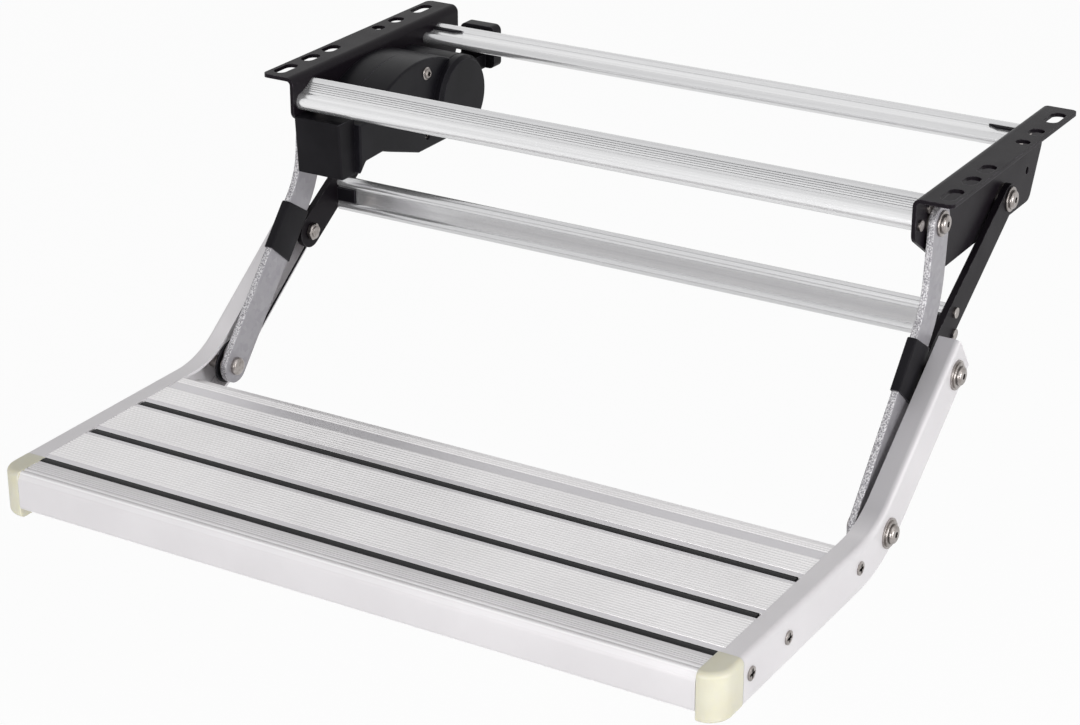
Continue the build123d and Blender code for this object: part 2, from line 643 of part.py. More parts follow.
def nosing():
    """The front plank: a hollow section with a rounded front edge."""
    x_rear = nosing_x()
    bottom = TREAD_TOP - PLANK_H
    top = TREAD_TOP - NOSE_STEP
    outline = box(x_rear, x_rear + NOSE_RIDGE_END, bottom, TREAD_TOP) + box(x_rear, NOSE_X, bottom, top)
    front = outline.vertices().group_by(Axis.X)[-1].sort_by(Axis.Y)
    outline = fillet(front[-1], NOSE_R)
    front = outline.vertices().group_by(Axis.X)[-1].sort_by(Axis.Y)
    outline = fillet(front[0], NOSE_TOE_R)
    ceiling = TREAD_TOP - NOSE_STEP - PLANK_WALL
    hollow = offset(outline, amount=-PLANK_WALL) & box(x_rear, NOSE_X, bottom, ceiling)
    outline -= hollow
    outline -= rib_valleys(*[x_rear + distance for distance in NOSE_RIBS])
    for distance in NOSE_RIDGE_GAPS:
        outline -= Pos(x_rear + distance, TREAD_TOP) * Rectangle(RIB_VALLEY_W, 2 * RIB_DEPTH)
    return flat(outline, -CAP_IN, CAP_IN)


def end_cap():
    """A moulded corner at the end of the rail, with a tongue behind the rail's web."""
    plan = Pos((RAIL_FRONT_X + NOSE_X) / 2, (CAP_IN + RAIL_OUT) / 2)
    plan *= Rectangle(NOSE_X - RAIL_FRONT_X, RAIL_OUT - CAP_IN)
    corner = plan.vertices().sort_by_distance((NOSE_X, RAIL_OUT))[0]
    plan = fillet(corner, CAP_CORNER_R)
    body = extrude(Pos(0, 0, CAP_BOTTOM) * plan, amount=TREAD_TOP - CAP_BOTTOM)
    top = body.edges().group_by(Axis.Z)[-1]
    outer = top.filter_by(lambda edge: edge.center().X > RAIL_FRONT_X + CAP_EDGE_R)
    outer = outer.filter_by(lambda edge: edge.center().Y > CAP_IN + CAP_EDGE_R)
    body = fillet(outer, CAP_EDGE_R)
    centre_z = TREAD_TOP - RAIL_H / 2
    tongue_z = (centre_z - CAP_TONGUE_H / 2, centre_z + CAP_TONGUE_H / 2)
    tongue_y = (RAIL_WEB_IN - CAP_TONGUE_T, RAIL_WEB_IN)
    body += flat(box(RAIL_FRONT_X - CAP_TONGUE_LEN, RAIL_FRONT_X, *tongue_z), *tongue_y)
    return body - disc((RAIL_SCREW_XS[0], RAIL_SCREW_Z), RAIL_SCREW_R + FIT_GAP, *tongue_y)


def tread():
    """Planks from front to rear, the rubber strips between them and the end caps."""
    save("nosing_plank", nosing())
    pitch = PLANK_W + GROOVE_W
    names = ("front", "middle", "rear")
    for index, (name, port_x) in enumerate(zip(names, RAIL_SCREW_XS)):
        x_rear = nosing_x() - (index + 1) * pitch
        end_y = RAIL_WEB_IN - (CAP_TONGUE_T if index == 0 else 0)
        save(f"{name}_plank", plank(x_rear, port_x, end_y))
        x_strip = x_rear + PLANK_W
        strip = box(x_strip, x_strip + GROOVE_W, TREAD_TOP - SHELF_DROP, TREAD_TOP - STRIP_TOP_DROP)
        save(f"{name}_grip_strip", flat(strip, -CAP_IN, CAP_IN))
    save_pair("end_cap", end_cap())


# Drive
def housing_outline():
    """Side view of the drive's housing: an arch, the drum round the shaft and a skirt below."""
    arch = Pos(*ARCH_CENTRE) * Circle(ARCH_R)
    arch &= box(ARCH_REAR_X, ARCH_FRONT_X, ARCH_BOTTOM_Z, 0)
    outline = arch + Pos(*REAR_UPPER) * Circle(DRUM_R)
    bottom = REAR_UPPER[1] - DRUM_R
    corners = [(REAR_UPPER[0], bottom), (SKIRT_X, bottom), *SKIRT]
    corners += [(ARCH_FRONT_X, SHOULDER_Z), (SKIRT[0][0], SHOULDER_Z), REAR_UPPER]
    return outline + make_face(Polyline(*corners, close=True))


def housing_cavity():
    """The outline inside the housing's wall."""
    return offset(housing_outline(), amount=-DRIVE_WALL)


def housing_base():
    """The half of the housing that lies on the bracket's web."""
    outer = flat(housing_outline(), DRIVE_OUT, DRIVE_SPLIT)
    body = outer - flat(housing_cavity(), DRIVE_OUT + DRIVE_WALL, DRIVE_SPLIT)
    points = (*HOUSING_SCREWS, BACK_SCREW)
    for at in points:
        body += disc(at, HOUSING_BOSS_R, DRIVE_OUT, DRIVE_SPLIT) & outer
    body -= [disc(at, HOUSING_SCREW_R + FIT_GAP, DRIVE_OUT, DRIVE_SPLIT) for at in points]
    return body - disc(REAR_UPPER, BUSH_R, DRIVE_OUT, DRIVE_OUT + DRIVE_WALL)


def housing_cover():
    """The domed half of the housing, open at the drum for the round cap."""
    outer = flat(housing_outline(), DRIVE_SPLIT, DRIVE_IN)
    outer = fillet(outer.edges().group_by(Axis.Y)[-1], COVER_EDGE_R)
    body = outer - flat(housing_cavity(), DRIVE_SPLIT, DRIVE_IN - DRIVE_WALL)
    for at in (*HOUSING_SCREWS, BACK_SCREW):
        body += disc(at, HOUSING_BOSS_R, DRIVE_SPLIT, DRIVE_IN) & outer
    for at in HOUSING_SCREWS:
        body -= disc(at, HOUSING_SCREW_R + FIT_GAP, DRIVE_SPLIT, DRIVE_IN)
        body -= disc(at, HOUSING_SCREW_HEAD_R + FIT_GAP, DRIVE_IN - HOUSING_SCREW_RECESS, DRIVE_IN)
    body -= disc(BACK_SCREW, HOUSING_SCREW_R + FIT_GAP, DRIVE_SPLIT, DRIVE_IN - SCREW_DEPTH_LEFT)
    return body - disc(REAR_UPPER, CAP_SPIGOT_R + FIT_GAP, DRIVE_IN - CAP_SPIGOT_LEN, DRIVE_IN)


def drive_cap():
    """The round cap over the drum, with the inner bearing of the shaft."""
    body = disc(REAR_UPPER, DRUM_R, DRIVE_IN, CAP_FACE_Y)
    rim = body.edges().filter_by(GeomType.CIRCLE).group_by(Axis.Y)[-1]
    body = chamfer(rim, CAP_BEVEL)
    body += disc(REAR_UPPER, CAP_SPIGOT_R, DRIVE_IN - CAP_SPIGOT_LEN, DRIVE_IN)
    body -= disc(REAR_UPPER, CAP_SPIGOT_R - DRIVE_WALL, DRIVE_IN - CAP_SPIGOT_LEN, DRIVE_IN)
    body += disc(REAR_UPPER, BUSH_FLANGE_R, DRIVE_IN - CAP_SPIGOT_LEN, DRIVE_IN)
    bore_end = SHAFT_INNER_Y + SEAT_GAP
    return body - disc(REAR_UPPER, SHAFT_R + RUNNING_GAP, DRIVE_IN - CAP_SPIGOT_LEN, bore_end)


def motor_end_cover():
    """The box-shaped cover in front of the motor, with a front face that leans back a little."""
    corners = [
        (ARCH_FRONT_X, BOX_TOP_Z),
        (BOX_FRONT_X, BOX_TOP_Z),
        (BOX_FRONT_X - BOX_LEAN, BOX_BOTTOM_Z),
        (ARCH_FRONT_X, BOX_BOTTOM_Z),
    ]
    body = flat(make_face(Polyline(*corners, close=True)), DRIVE_OUT, BOX_IN_Y)
    front = body.edges().filter_by(lambda edge: edge.center().X > BOX_FRONT_X - BOX_LEAN - BOX_R)
    body = fillet(front, BOX_R)
    return body - flat(housing_outline(), DRIVE_OUT, BOX_IN_Y)


def housing_screw(at):
    """A long screw through both halves of the housing into the bracket's web."""
    seat = DRIVE_IN - HOUSING_SCREW_RECESS
    head = disc(at, HOUSING_SCREW_HEAD_R, seat, seat + HOUSING_SCREW_HEAD_R / 2)
    recess = RegularPolygon(HOUSING_SCREW_HEAD_R / 2, 6)
    head -= flat(Pos(*at) * recess, seat + HOUSING_SCREW_HEAD_R / 4, seat + HOUSING_SCREW_HEAD_R / 2)
    return head + disc(at, HOUSING_SCREW_R, -WEB_OUT + FIT_GAP, seat)


def back_screw():
    """A screw from the back of the housing, below the web, into a boss of the cover."""
    head = disc(BACK_SCREW, HOUSING_SCREW_HEAD_R, DRIVE_OUT - SCREW_HEAD_H, DRIVE_OUT)
    return head + disc(BACK_SCREW, HOUSING_SCREW_R, DRIVE_OUT, DRIVE_IN - SCREW_DEPTH_LEFT - FIT_GAP)


def worm_plane(distance):
    """A plane square to the worm's axis, at a distance in front of the worm's middle."""
    angle = math.radians(WORM_TILT)
    direction = Vector(math.cos(angle), 0, -math.sin(angle))
    foot_x = REAR_UPPER[0] + WORM_DISTANCE * math.sin(angle)
    foot_z = REAR_UPPER[1] + WORM_DISTANCE * math.cos(angle)
    foot = Vector(foot_x, DRIVE_SPLIT, foot_z)
    return Plane(origin=foot + direction * distance, x_dir=(0, 1, 0), z_dir=direction)


def worm_cylinder(radius, start, length):
    """A cylinder on the worm's axis."""
    return extrude(worm_plane(start) * Circle(radius), amount=length)


def motor():
    """The flat-sided motor, with a nose that carries the worm's shaft."""
    inner_width = DRIVE_IN - DRIVE_OUT - 2 * DRIVE_WALL
    section = RectangleRounded(inner_width - 2 * MOTOR_GAP, MOTOR_H, MOTOR_CORNER_R)
    shift = Pos((DRIVE_IN + DRIVE_OUT) / 2 - DRIVE_SPLIT, 0)
    body = extrude(worm_plane(MOTOR_START) * shift * section, amount=MOTOR_LENGTH)
    body += worm_cylinder(MOTOR_NOSE_R, MOTOR_START - MOTOR_NOSE_LEN, MOTOR_NOSE_LEN)
    return body - worm_cylinder(WORM_SHAFT_R + RUNNING_GAP, MOTOR_START - MOTOR_NOSE_LEN, 2 * MOTOR_NOSE_LEN)


def worm_shaft():
    """The motor's shaft with the worm on it."""
    body = worm_cylinder(WORM_SHAFT_R, -WORM_SHAFT_TAIL, WORM_SHAFT_TAIL + MOTOR_START)
    body += worm_cylinder(WORM_ROOT_R, -WORM_LENGTH / 2, WORM_LENGTH)
    ridge_pitch = 2 * math.pi * (WHEEL_TIP_R - TOOTH_H / 2) / WHEEL_TEETH
    count = int(WORM_LENGTH / ridge_pitch)
    for index in range(count):
        start = (index - (count - 1) / 2) * ridge_pitch - ridge_pitch / 4
        body += worm_cylinder(WORM_R, start, ridge_pitch / 2)
    return body


def worm_wheel():
    """The toothed wheel on the output shaft."""
    body = Circle(WHEEL_TIP_R - TOOTH_H)
    pitch = 2 * math.pi * WHEEL_TIP_R / WHEEL_TEETH
    tooth = Trapezoid(pitch * TOOTH_SHARE, 2 * TOOTH_H, TOOTH_FLANK)
    for location in PolarLocations(WHEEL_TIP_R - TOOTH_H, WHEEL_TEETH):
        body += location * Rot(0, 0, -90) * tooth
    body -= Circle(SHAFT_R)
    return flat(Pos(*REAR_UPPER) * body, DRIVE_SPLIT - WHEEL_T / 2, DRIVE_SPLIT + WHEEL_T / 2)


def output_shaft():
    """The shaft that carries the left rear arm, from its head to the cap's bearing."""
    shaft = disc(REAR_UPPER, SHAFT_R, -ARM_OUT, SHAFT_INNER_Y)
    return shaft + disc(REAR_UPPER, SHAFT_HEAD_R, -ARM_OUT - SHAFT_HEAD_T, -ARM_OUT)


def shaft_bush():
    """The flanged bush of the shaft in the bracket's web and the housing's wall."""
    bush = disc(REAR_UPPER, BUSH_R, -WEB_OUT, DRIVE_OUT + DRIVE_WALL)
    bush += disc(REAR_UPPER, BUSH_FLANGE_R, -ARM_IN + SEAT_GAP, -WEB_OUT)
    return bush - disc(REAR_UPPER, SHAFT_R + RUNNING_GAP, -ARM_IN, DRIVE_OUT + DRIVE_WALL)


def cable_inlet():
    """The block behind the housing that takes the supply cable, and its neck to the drum."""
    block = flat(box(*INLET_X, *INLET_Z), *INLET_Y)
    block = fillet(block.edges().filter_by(Axis.X), INLET_R)
    neck = flat(box(INLET_X[1], REAR_UPPER[0], INLET_Z[0], INLET_Z[0] + INLET_NECK_H), *INLET_NECK_Y)
    middle_y = (INLET_NECK_Y[0] + INLET_NECK_Y[1]) / 2
    bore_z = INLET_Z[0] + INLET_NECK_H / 2
    bore = Plane(origin=(INLET_X[0], middle_y, bore_z), z_dir=(1, 0, 0)) * Circle(INLET_BORE_R)
    drum = disc(REAR_UPPER, DRUM_R, DRIVE_OUT, CAP_FACE_Y)
    return block + (neck - drum) - extrude(bore, amount=INLET_X[1] - INLET_X[0])


def drive():
    """The electric drive, from its housing to the shaft."""
    save("drive_housing", housing_base())
    save("drive_cover", housing_cover())
    save("drive_cap", drive_cap())
    save("motor_end_cover", motor_end_cover())
    save("housing_screws", *[housing_screw(at) for at in HOUSING_SCREWS], back_screw())
    save("drive_motor", motor())
    save("worm_shaft", worm_shaft())
    save("worm_wheel", worm_wheel())
    save("output_shaft", output_shaft())
    save("shaft_bush", shaft_bush())
    save("cable_inlet", cable_inlet())


brackets()
crossbars()
front_arms()
rear_arms()
upper_fasteners()
lower_fasteners()
rails()
tread()
drive()
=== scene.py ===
import json
import logging
import math
from dataclasses import dataclass, field
from enum import Enum
from typing import Optional

import bmesh
import bpy
import numpy as np
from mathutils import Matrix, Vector


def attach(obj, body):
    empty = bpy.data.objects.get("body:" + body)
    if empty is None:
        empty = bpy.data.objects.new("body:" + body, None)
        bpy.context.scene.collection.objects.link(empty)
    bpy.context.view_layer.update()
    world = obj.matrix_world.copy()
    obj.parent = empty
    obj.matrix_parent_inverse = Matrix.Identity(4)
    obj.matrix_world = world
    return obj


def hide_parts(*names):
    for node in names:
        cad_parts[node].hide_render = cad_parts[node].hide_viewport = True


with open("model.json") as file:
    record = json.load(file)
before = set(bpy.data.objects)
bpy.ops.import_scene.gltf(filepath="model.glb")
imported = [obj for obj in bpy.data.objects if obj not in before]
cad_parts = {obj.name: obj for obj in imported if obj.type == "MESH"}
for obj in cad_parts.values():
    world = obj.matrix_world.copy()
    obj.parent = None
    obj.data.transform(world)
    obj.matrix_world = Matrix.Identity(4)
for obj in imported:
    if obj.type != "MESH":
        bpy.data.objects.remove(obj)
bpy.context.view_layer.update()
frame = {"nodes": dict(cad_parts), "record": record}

LOG = logging.getLogger("entry_step")
MM = 0.001
SIDES = ((-1, "left"), (1, "right"))
SMOOTH_DEG = 35.0
TURNED_POINTS = 48
RIB_POINTS = 10
RIB_POWER = 0.55
Socket = bpy.types.NodeSocket


# Meshes worked out as whole arrays


def signed_area(outline: np.ndarray) -> float:
    """Area of a closed outline, by the shoelace sum; positive where it runs anticlockwise.

    Args:
        outline: Points of the outline, one row of two numbers each.

    Returns:
        The signed area.
    """
    x, z = outline[:, 0], outline[:, 1]
    return 0.5 * float(np.sum(x * np.roll(z, -1) - np.roll(x, -1) * z))


def mesh_piece(name: str, points: np.ndarray, faces: list) -> bpy.types.Object:
    """A new object from points in metres and faces that point outwards.

    Faces that meet at less than SMOOTH_DEG are shaded as one surface.

    Args:
        name: Name of the piece.
        points: One row of three coordinates for each point.
        faces: Lists of point numbers.

    Returns:
        The object, linked to the scene, at the origin.
    """
    mesh = bpy.data.meshes.new(name)
    mesh.from_pydata(points.tolist(), [], faces)
    mesh.validate()
    mesh.polygons.foreach_set("use_smooth", np.ones(len(mesh.polygons), dtype=bool))
    mesh.set_sharp_from_angle(angle=math.radians(SMOOTH_DEG))
    mesh.update()
    piece = bpy.data.objects.new(name, mesh)
    bpy.context.scene.collection.objects.link(piece)
    return piece


def tube_faces(rings: int, around: int) -> list:
    """Quads of a closed tube of rings, and the two end faces.

    Ring r holds points r * around to r * around + around - 1, and the side face between ring r
    and ring r + 1 joins the points a and a + 1 of both.

    Args:
        rings: Number of rings.
        around: Points in each ring.

    Returns:
        The faces, side faces first.
    """
    ring, spot = np.meshgrid(np.arange(rings - 1), np.arange(around), indexing="ij")
    here = ring * around + spot
    beside = ring * around + (spot + 1) % around
    quads = np.stack([here, here + around, beside + around, beside], axis=-1).reshape(-1, 4)
    first = np.arange(around)
    last = (rings - 1) * around + first[::-1]
    return quads.tolist() + [first.tolist(), last.tolist()]


def bar_along_y(name: str, outline: np.ndarray, y_from: float, y_to: float) -> bpy.types.Object:
    """A closed outline in X and Z carried straight along Y: (x, z) becomes (x, y, z) at both ends.

    Args:
        name: Name of the piece.
        outline: Points in millimetres, one row of X and Z each.
        y_from: Lower end in millimetres.
        y_to: Upper end in millimetres.

    Returns:
        The new object.
    """
    if signed_area(outline) < 0:
        outline = outline[::-1]
    count = len(outline)
    rings = [np.column_stack([outline[:, 0], np.full(count, y), outline[:, 1]]) for y in (y_from, y_to)]
    return mesh_piece(name, np.concatenate(rings) * MM, tube_faces(2, count))


def lofted(name: str, rings: np.ndarray) -> bpy.types.Object:
    """A closed skin over a stack of rings, with flat ends.

    Args:
        name: Name of the piece.
        rings: Array of rings, points and three coordinates, in millimetres. Seen from the first
            ring's outside, the points run anticlockwise.

    Returns:
        The new object.
    """
    count, around = rings.shape[:2]
    return mesh_piece(name, rings.reshape(-1, 3) * MM, tube_faces(count, around))


def arc(centre: tuple, radius: float, start_deg: float, end_deg: float, steps: int) -> np.ndarray:
    """Points of an arc: centre + radius * (cos t, sin t) for t from start to end.

    Args:
        centre: Middle of the arc.
        radius: Its radius.
        start_deg: First angle in degrees.
        end_deg: Last angle in degrees.
        steps: Number of spans.

    Returns:
        One row of two coordinates for each point.
    """
    t = np.radians(np.linspace(start_deg, end_deg, steps + 1))
    return np.column_stack([centre[0] + radius * np.cos(t), centre[1] + radius * np.sin(t)])


def ribbed_line(x_from: float, x_to: float, pitch: float, depth: float, top: float) -> np.ndarray:
    """Fine grip ribs in section: z = top - depth * (1 - |sin(pi u)|^RIB_POWER).

    The value u counts the ribs from the first valley, with RIB_POINTS points for each.

    Args:
        x_from: First X.
        x_to: Last X.
        pitch: Wanted distance of the ribs; the real one divides the stretch evenly.
        depth: Depth of the valleys.
        top: Height of the rib tops.

    Returns:
        One row of X and Z for each point.
    """
    count = max(1, int(round((x_to - x_from) / pitch)))
    u = np.linspace(0.0, count, count * RIB_POINTS + 1)
    lift = np.abs(np.sin(np.pi * u)) ** RIB_POWER
    x = x_from + (x_to - x_from) * u / count
    return np.column_stack([x, top - depth * (1.0 - lift)])


def turned(name: str, radius: np.ndarray, height: np.ndarray, lobes: tuple, at: tuple,
           side: int) -> bpy.types.Object:
    """A fastener turned about an axis along Y, with lobes on some of its rings.

    Profile point k becomes a ring: x = x0 + r cos t, z = z0 + r sin t, y = side * height[k], with
    r = radius[k] * (1 + size * cos(count * t)) on the lobed rings, and radius[k] on the others.

    Args:
        name: Name of the piece.
        radius: Radius of each profile point in millimetres, from the foot to the head's top or drive.
        height: Y of each point in millimetres, for side 1.
        lobes: Count of lobes, their size as a share of the radius, and the first and last lobed point.
        at: X and Z of the axis in millimetres.
        side: 1 for a head that faces +Y and -1 for one that faces -Y.

    Returns:
        The new object.
    """
    count, size, first, last = lobes
    point = np.arange(len(radius))
    share = np.where((point >= first) & (point <= last), size, 0.0)[:, None]
    t = np.linspace(0.0, 2 * np.pi, TURNED_POINTS + 1)[:-1][None]
    r = radius[:, None] * (1.0 + share * np.cos(count * t))
    y = np.broadcast_to(side * height[:, None], r.shape)
    rings = np.stack([at[0] + r * np.cos(t), y, at[1] + r * np.sin(t)], axis=2)
    return lofted(name, rings[:, ::-1] if side > 0 else rings)


# Finishes


class Way(Enum):
    """An axis of a piece: the one that drawn lines run along, or the one that a mask goes by."""

    X = 0
    Y = 1
    Z = 2


class Nodes:
    """A node tree, with short names for its nodes and links."""

    def __init__(self, tree: bpy.types.NodeTree) -> None:
        """Keep the tree."""
        self.tree = tree

    def add(self, kind: str, values: Optional[dict] = None, **settings: object) -> bpy.types.Node:
        """Add a node and set it up.

        Args:
            kind: Blender's name of the node type, after the word ShaderNode.
            values: Numbers and colours of its unlinked inputs, by the input's name or number.
            **settings: Properties of the node.

        Returns:
            The node.
        """
        node = self.tree.nodes.new(f"ShaderNode{kind}")
        for key, value in settings.items():
            setattr(node, key, value)
        for key, value in (values or {}).items():
            node.inputs[key].default_value = value
        return node

    def join(self, start: Socket, end: Socket) -> None:
        """Link an output to an input."""
        self.tree.links.new(start, end)

    def calculate(self, operation: str, *values: Socket, **settings: object) -> Socket:
        """Work a number out of one or two others.

        Args:
            operation: Blender's name of the operation.
            *values: The sockets of the numbers, in order.
            **settings: Properties of the node.

        Returns:
            The socket of the result.
        """
        node = self.add("Math", operation=operation, **settings)
        for value, end in zip(values, node.inputs):
            self.join(value, end)
        return node.outputs[0]

    def spread(self, value: Socket, low: float, high: float, start: float = 0.0, end: float = 1.0) -> Socket:
        """Map start..end of a value to low..high, held at both ends.

        Args:
            value: The socket of the value.
            low: The result at start.
            high: The result at end.
            start: Where the ramp starts.
            end: Where it ends.

        Returns:
            The socket of the result.
        """
        node = self.add("MapRange", {"From Min": start, "From Max": end, "To Min": low, "To Max": high})
        self.join(value, node.inputs["Value"])
        return node.outputs["Result"]

    def show(self, amount: Socket, first: bpy.types.Node, second: bpy.types.Node,
             out: bpy.types.Node) -> None:
        """Send a mix of two shaders to the output.

        Args:
            amount: The socket of the second one's share.
            first: The node of the first shader.
            second: The node of the second shader.
            out: The output node.
        """
        mix = self.add("MixShader")
        for value, end in zip((amount, first.outputs[0], second.outputs[0]), mix.inputs):
            self.join(value, end)
        self.join(mix.outputs[0], out.inputs["Surface"])


class Shade(Nodes):
    """The nodes of one material, with short names for the steps that the finishes share."""

    def __init__(self, name: str) -> None:
        """Start a material with one shader and its output.

        Args:
            name: Name of the material.
        """
        self.material = bpy.data.materials.new(name)
        self.material.use_nodes = True
        super().__init__(self.material.node_tree)
        self.shader = self.tree.nodes["Principled BSDF"]
        place = self.add("TexCoord")
        self.place, self.normal = place.outputs["Object"], place.outputs["Normal"]

    def surface(self, metallic: float, specular: float = 0.5) -> None:
        """Set the numbers that are the same all over the surface."""
        self.shader.inputs["Metallic"].default_value = metallic
        self.shader.inputs["Specular IOR Level"].default_value = specular

    def finish(self, colour: Socket, rough: Socket) -> None:
        """Give the shader its colour and its roughness."""
        self.join(colour, self.shader.inputs["Base Color"])
        self.join(rough, self.shader.inputs["Roughness"])

    def noise(self, scale: float, detail: float = 3.0, stretch: tuple = (1, 1, 1)) -> Socket:
        """Cloudy noise between 0 and 1.

        Args:
            scale: Cells to the metre.
            detail: Octaves.
            stretch: Scale for each axis before it.

        Returns:
            The socket of its value.
        """
        mapping = self.add("Mapping", {"Scale": stretch})
        node = self.add("TexNoise", {"Scale": scale, "Detail": detail})
        self.join(self.place, mapping.inputs["Vector"])
        self.join(mapping.outputs["Vector"], node.inputs["Vector"])
        return node.outputs["Fac"]

    def mixed(self, amount: Socket, colour: tuple) -> tuple:
        """A mix of two colours whose first one is still open.

        Args:
            amount: The socket of the second colour's share, from 0 to 1.
            colour: The second colour.

        Returns:
            The sockets of the first colour and of the result.
        """
        node = self.add("Mix", data_type="RGBA")
        first, second = (socket for socket in node.inputs if socket.type == "RGBA")
        second.default_value = (*colour, 1.0)
        self.join(amount, node.inputs[0])
        return first, next(socket for socket in node.outputs if socket.type == "RGBA")

    def blend(self, amount: Socket, first: tuple, second: tuple) -> Socket:
        """A colour between two.

        Args:
            amount: The socket of the second colour's share, from 0 to 1.
            first: The colour at 0.
            second: The colour at 1.

        Returns:
            The socket of the colour.
        """
        start, result = self.mixed(amount, second)
        start.default_value = (*first, 1.0)
        return result

    def over(self, amount: Socket, below: Socket, colour: tuple) -> Socket:
        """Lay a plain colour over another.

        Args:
            amount: The socket of its share, from 0 to 1.
            below: The socket of the colour below.
            colour: The plain colour.

        Returns:
            The socket of the result.
        """
        start, result = self.mixed(amount, colour)
        self.join(below, start)
        return result

    def edge_amount(self, radius: float) -> tuple:
        """How near an edge a point lies: the rounded normal parts from the flat one there.

        Args:
            radius: Reach of the rounding in metres.

        Returns:
            The amount from 0 to 1, and the rounded normal.
        """
        rounded = self.add("Bevel", {"Radius": radius}, samples=4)
        flat = self.add("NewGeometry")
        dot = self.add("VectorMath", operation="DOT_PRODUCT")
        self.join(rounded.outputs["Normal"], dot.inputs[0])
        self.join(flat.outputs["Normal"], dot.inputs[1])
        return self.spread(dot.outputs["Value"], 1.0, 0.0, 0.75, 0.99), rounded.outputs["Normal"]

    def openness(self, reach: float, low: float) -> Socket:
        """How open a spot is: from low, deep in a groove, to 1 in the open.

        Args:
            reach: How far away a wall still counts, in metres.
            low: The value deep in a groove.

        Returns:
            The socket of its value.
        """
        node = self.add("AmbientOcclusion", {"Distance": reach}, samples=8, only_local=True)
        return self.spread(node.outputs["AO"], low, 1.0, 0.2, 0.9)

    def times(self, first: Socket, second: Socket) -> Socket:
        """The product of two values."""
        return self.calculate("MULTIPLY", first, second)

    def along(self, vector: Socket, way: Way) -> Socket:
        """One number of a vector.

        Args:
            vector: The socket of the vector.
            way: The axis of the number.

        Returns:
            The socket of the number.
        """
        split = self.add("SeparateXYZ")
        self.join(vector, split.inputs[0])
        return split.outputs[way.value]

    def facing(self, way: Way) -> Socket:
        """How squarely the surface faces along an axis of the piece, from 0 to 1."""
        return self.calculate("ABSOLUTE", self.along(self.normal, way))

    def position(self, way: Way, low: float, high: float) -> Socket:
        """A ramp from 0 at one place on an axis of the piece to 1 at another, both in metres."""
        return self.spread(self.along(self.place, way), 0.0, 1.0, low, high)

    def bump(self, height: Socket, depth: float, normal: Optional[Socket] = None) -> None:
        """Raise the surface.

        Args:
            height: The socket of the height, from 0 to 1.
            depth: The height in metres at 1.
            normal: The socket of the normal before it, or none for the mesh's own.
        """
        node = self.add("Bump", {"Strength": 1.0, "Distance": depth})
        self.join(height, node.inputs["Height"])
        if normal is not None:
            self.join(normal, node.inputs["Normal"])
        self.join(node.outputs["Normal"], self.shader.inputs["Normal"])


@dataclass(frozen=True)
class PaintedSteel:
    """Powder-coated steel: a fine orange peel, a soft sheen, and lighter patches on edges: wear and painted
    highlight.
    """

    name: str
    colour: tuple
    # colour of the edge patches, partly edge wear and partly painted highlight
    edge_wear_and_highlight: tuple
    rough: tuple = (0.34, 0.46)
    edge: float = 0.0009
    specular: float = 0.08
    dust_scale: float = 9.0
    patch_scale: float = 160.0
    sheen_scale: float = 40.0
    peel_scale: float = 900.0
    peel_depth: float = 0.00006

    def material(self) -> bpy.types.Material:
        """Build the material.

        Returns:
            The material.
        """
        shade = Shade(self.name)
        shade.surface(0.0, self.specular)
        near, normal = shade.edge_amount(self.edge)
        dust = shade.spread(shade.noise(self.dust_scale, 4.0), 0.0, 0.5, 0.35, 0.75)
        dusty = shade.blend(dust, self.colour, tuple(channel * 1.4 + 0.003 for channel in self.colour))
        # lighter patches near edges, broken up by noise: partly edge wear, partly a painted highlight on the
        # edges
        patches = shade.times(near, shade.spread(shade.noise(self.patch_scale, 2.0), 0.05, 0.6, 0.4, 0.62))
        rough = shade.spread(shade.noise(self.sheen_scale), *self.rough)
        shade.finish(shade.over(patches, dusty, self.edge_wear_and_highlight), rough)
        shade.bump(shade.noise(self.peel_scale, 2.0), self.peel_depth, normal)
        return shade.material


@dataclass(frozen=True)
class DrawnAluminium:
    """Aluminium drawn through a die: lines along its length, in bright and dull streaks, with painted shade
    in grooves.
    """

    name: str
    colour: tuple
    dull: tuple
    way: Way
    line_scale: float
    rough: tuple
    depth: float
    metallic: float = 0.75
    edge: float = 0.0004
    groove: float = 0.0035
    stretch: float = 0.004
    broad_share: float = 9.0

    def material(self) -> bpy.types.Material:
        """Build the material.

        Returns:
            The material.
        """
        shade = Shade(self.name)
        shade.surface(self.metallic)
        long_way = tuple(self.stretch if axis == self.way.value else 1.0 for axis in range(3))
        lines = shade.noise(self.line_scale, 4.0, long_way)
        broad = shade.noise(self.line_scale / self.broad_share, 2.0, long_way)
        fine_streaks = shade.spread(lines, 0.5, 1.0, 0.3, 0.7)
        broad_streaks = shade.spread(broad, 0.35, 1.0, 0.35, 0.65)
        # the streaks turn dull where the openness mask finds a groove: painted shade in the grooves
        bright = shade.times(shade.times(fine_streaks, broad_streaks), shade.openness(self.groove, 0.5))
        rough = shade.spread(lines, self.rough[1], self.rough[0], 0.25, 0.75)
        shade.finish(shade.blend(bright, self.dull, self.colour), rough)
        shade.bump(lines, self.depth, shade.edge_amount(self.edge)[1])
        return shade.material


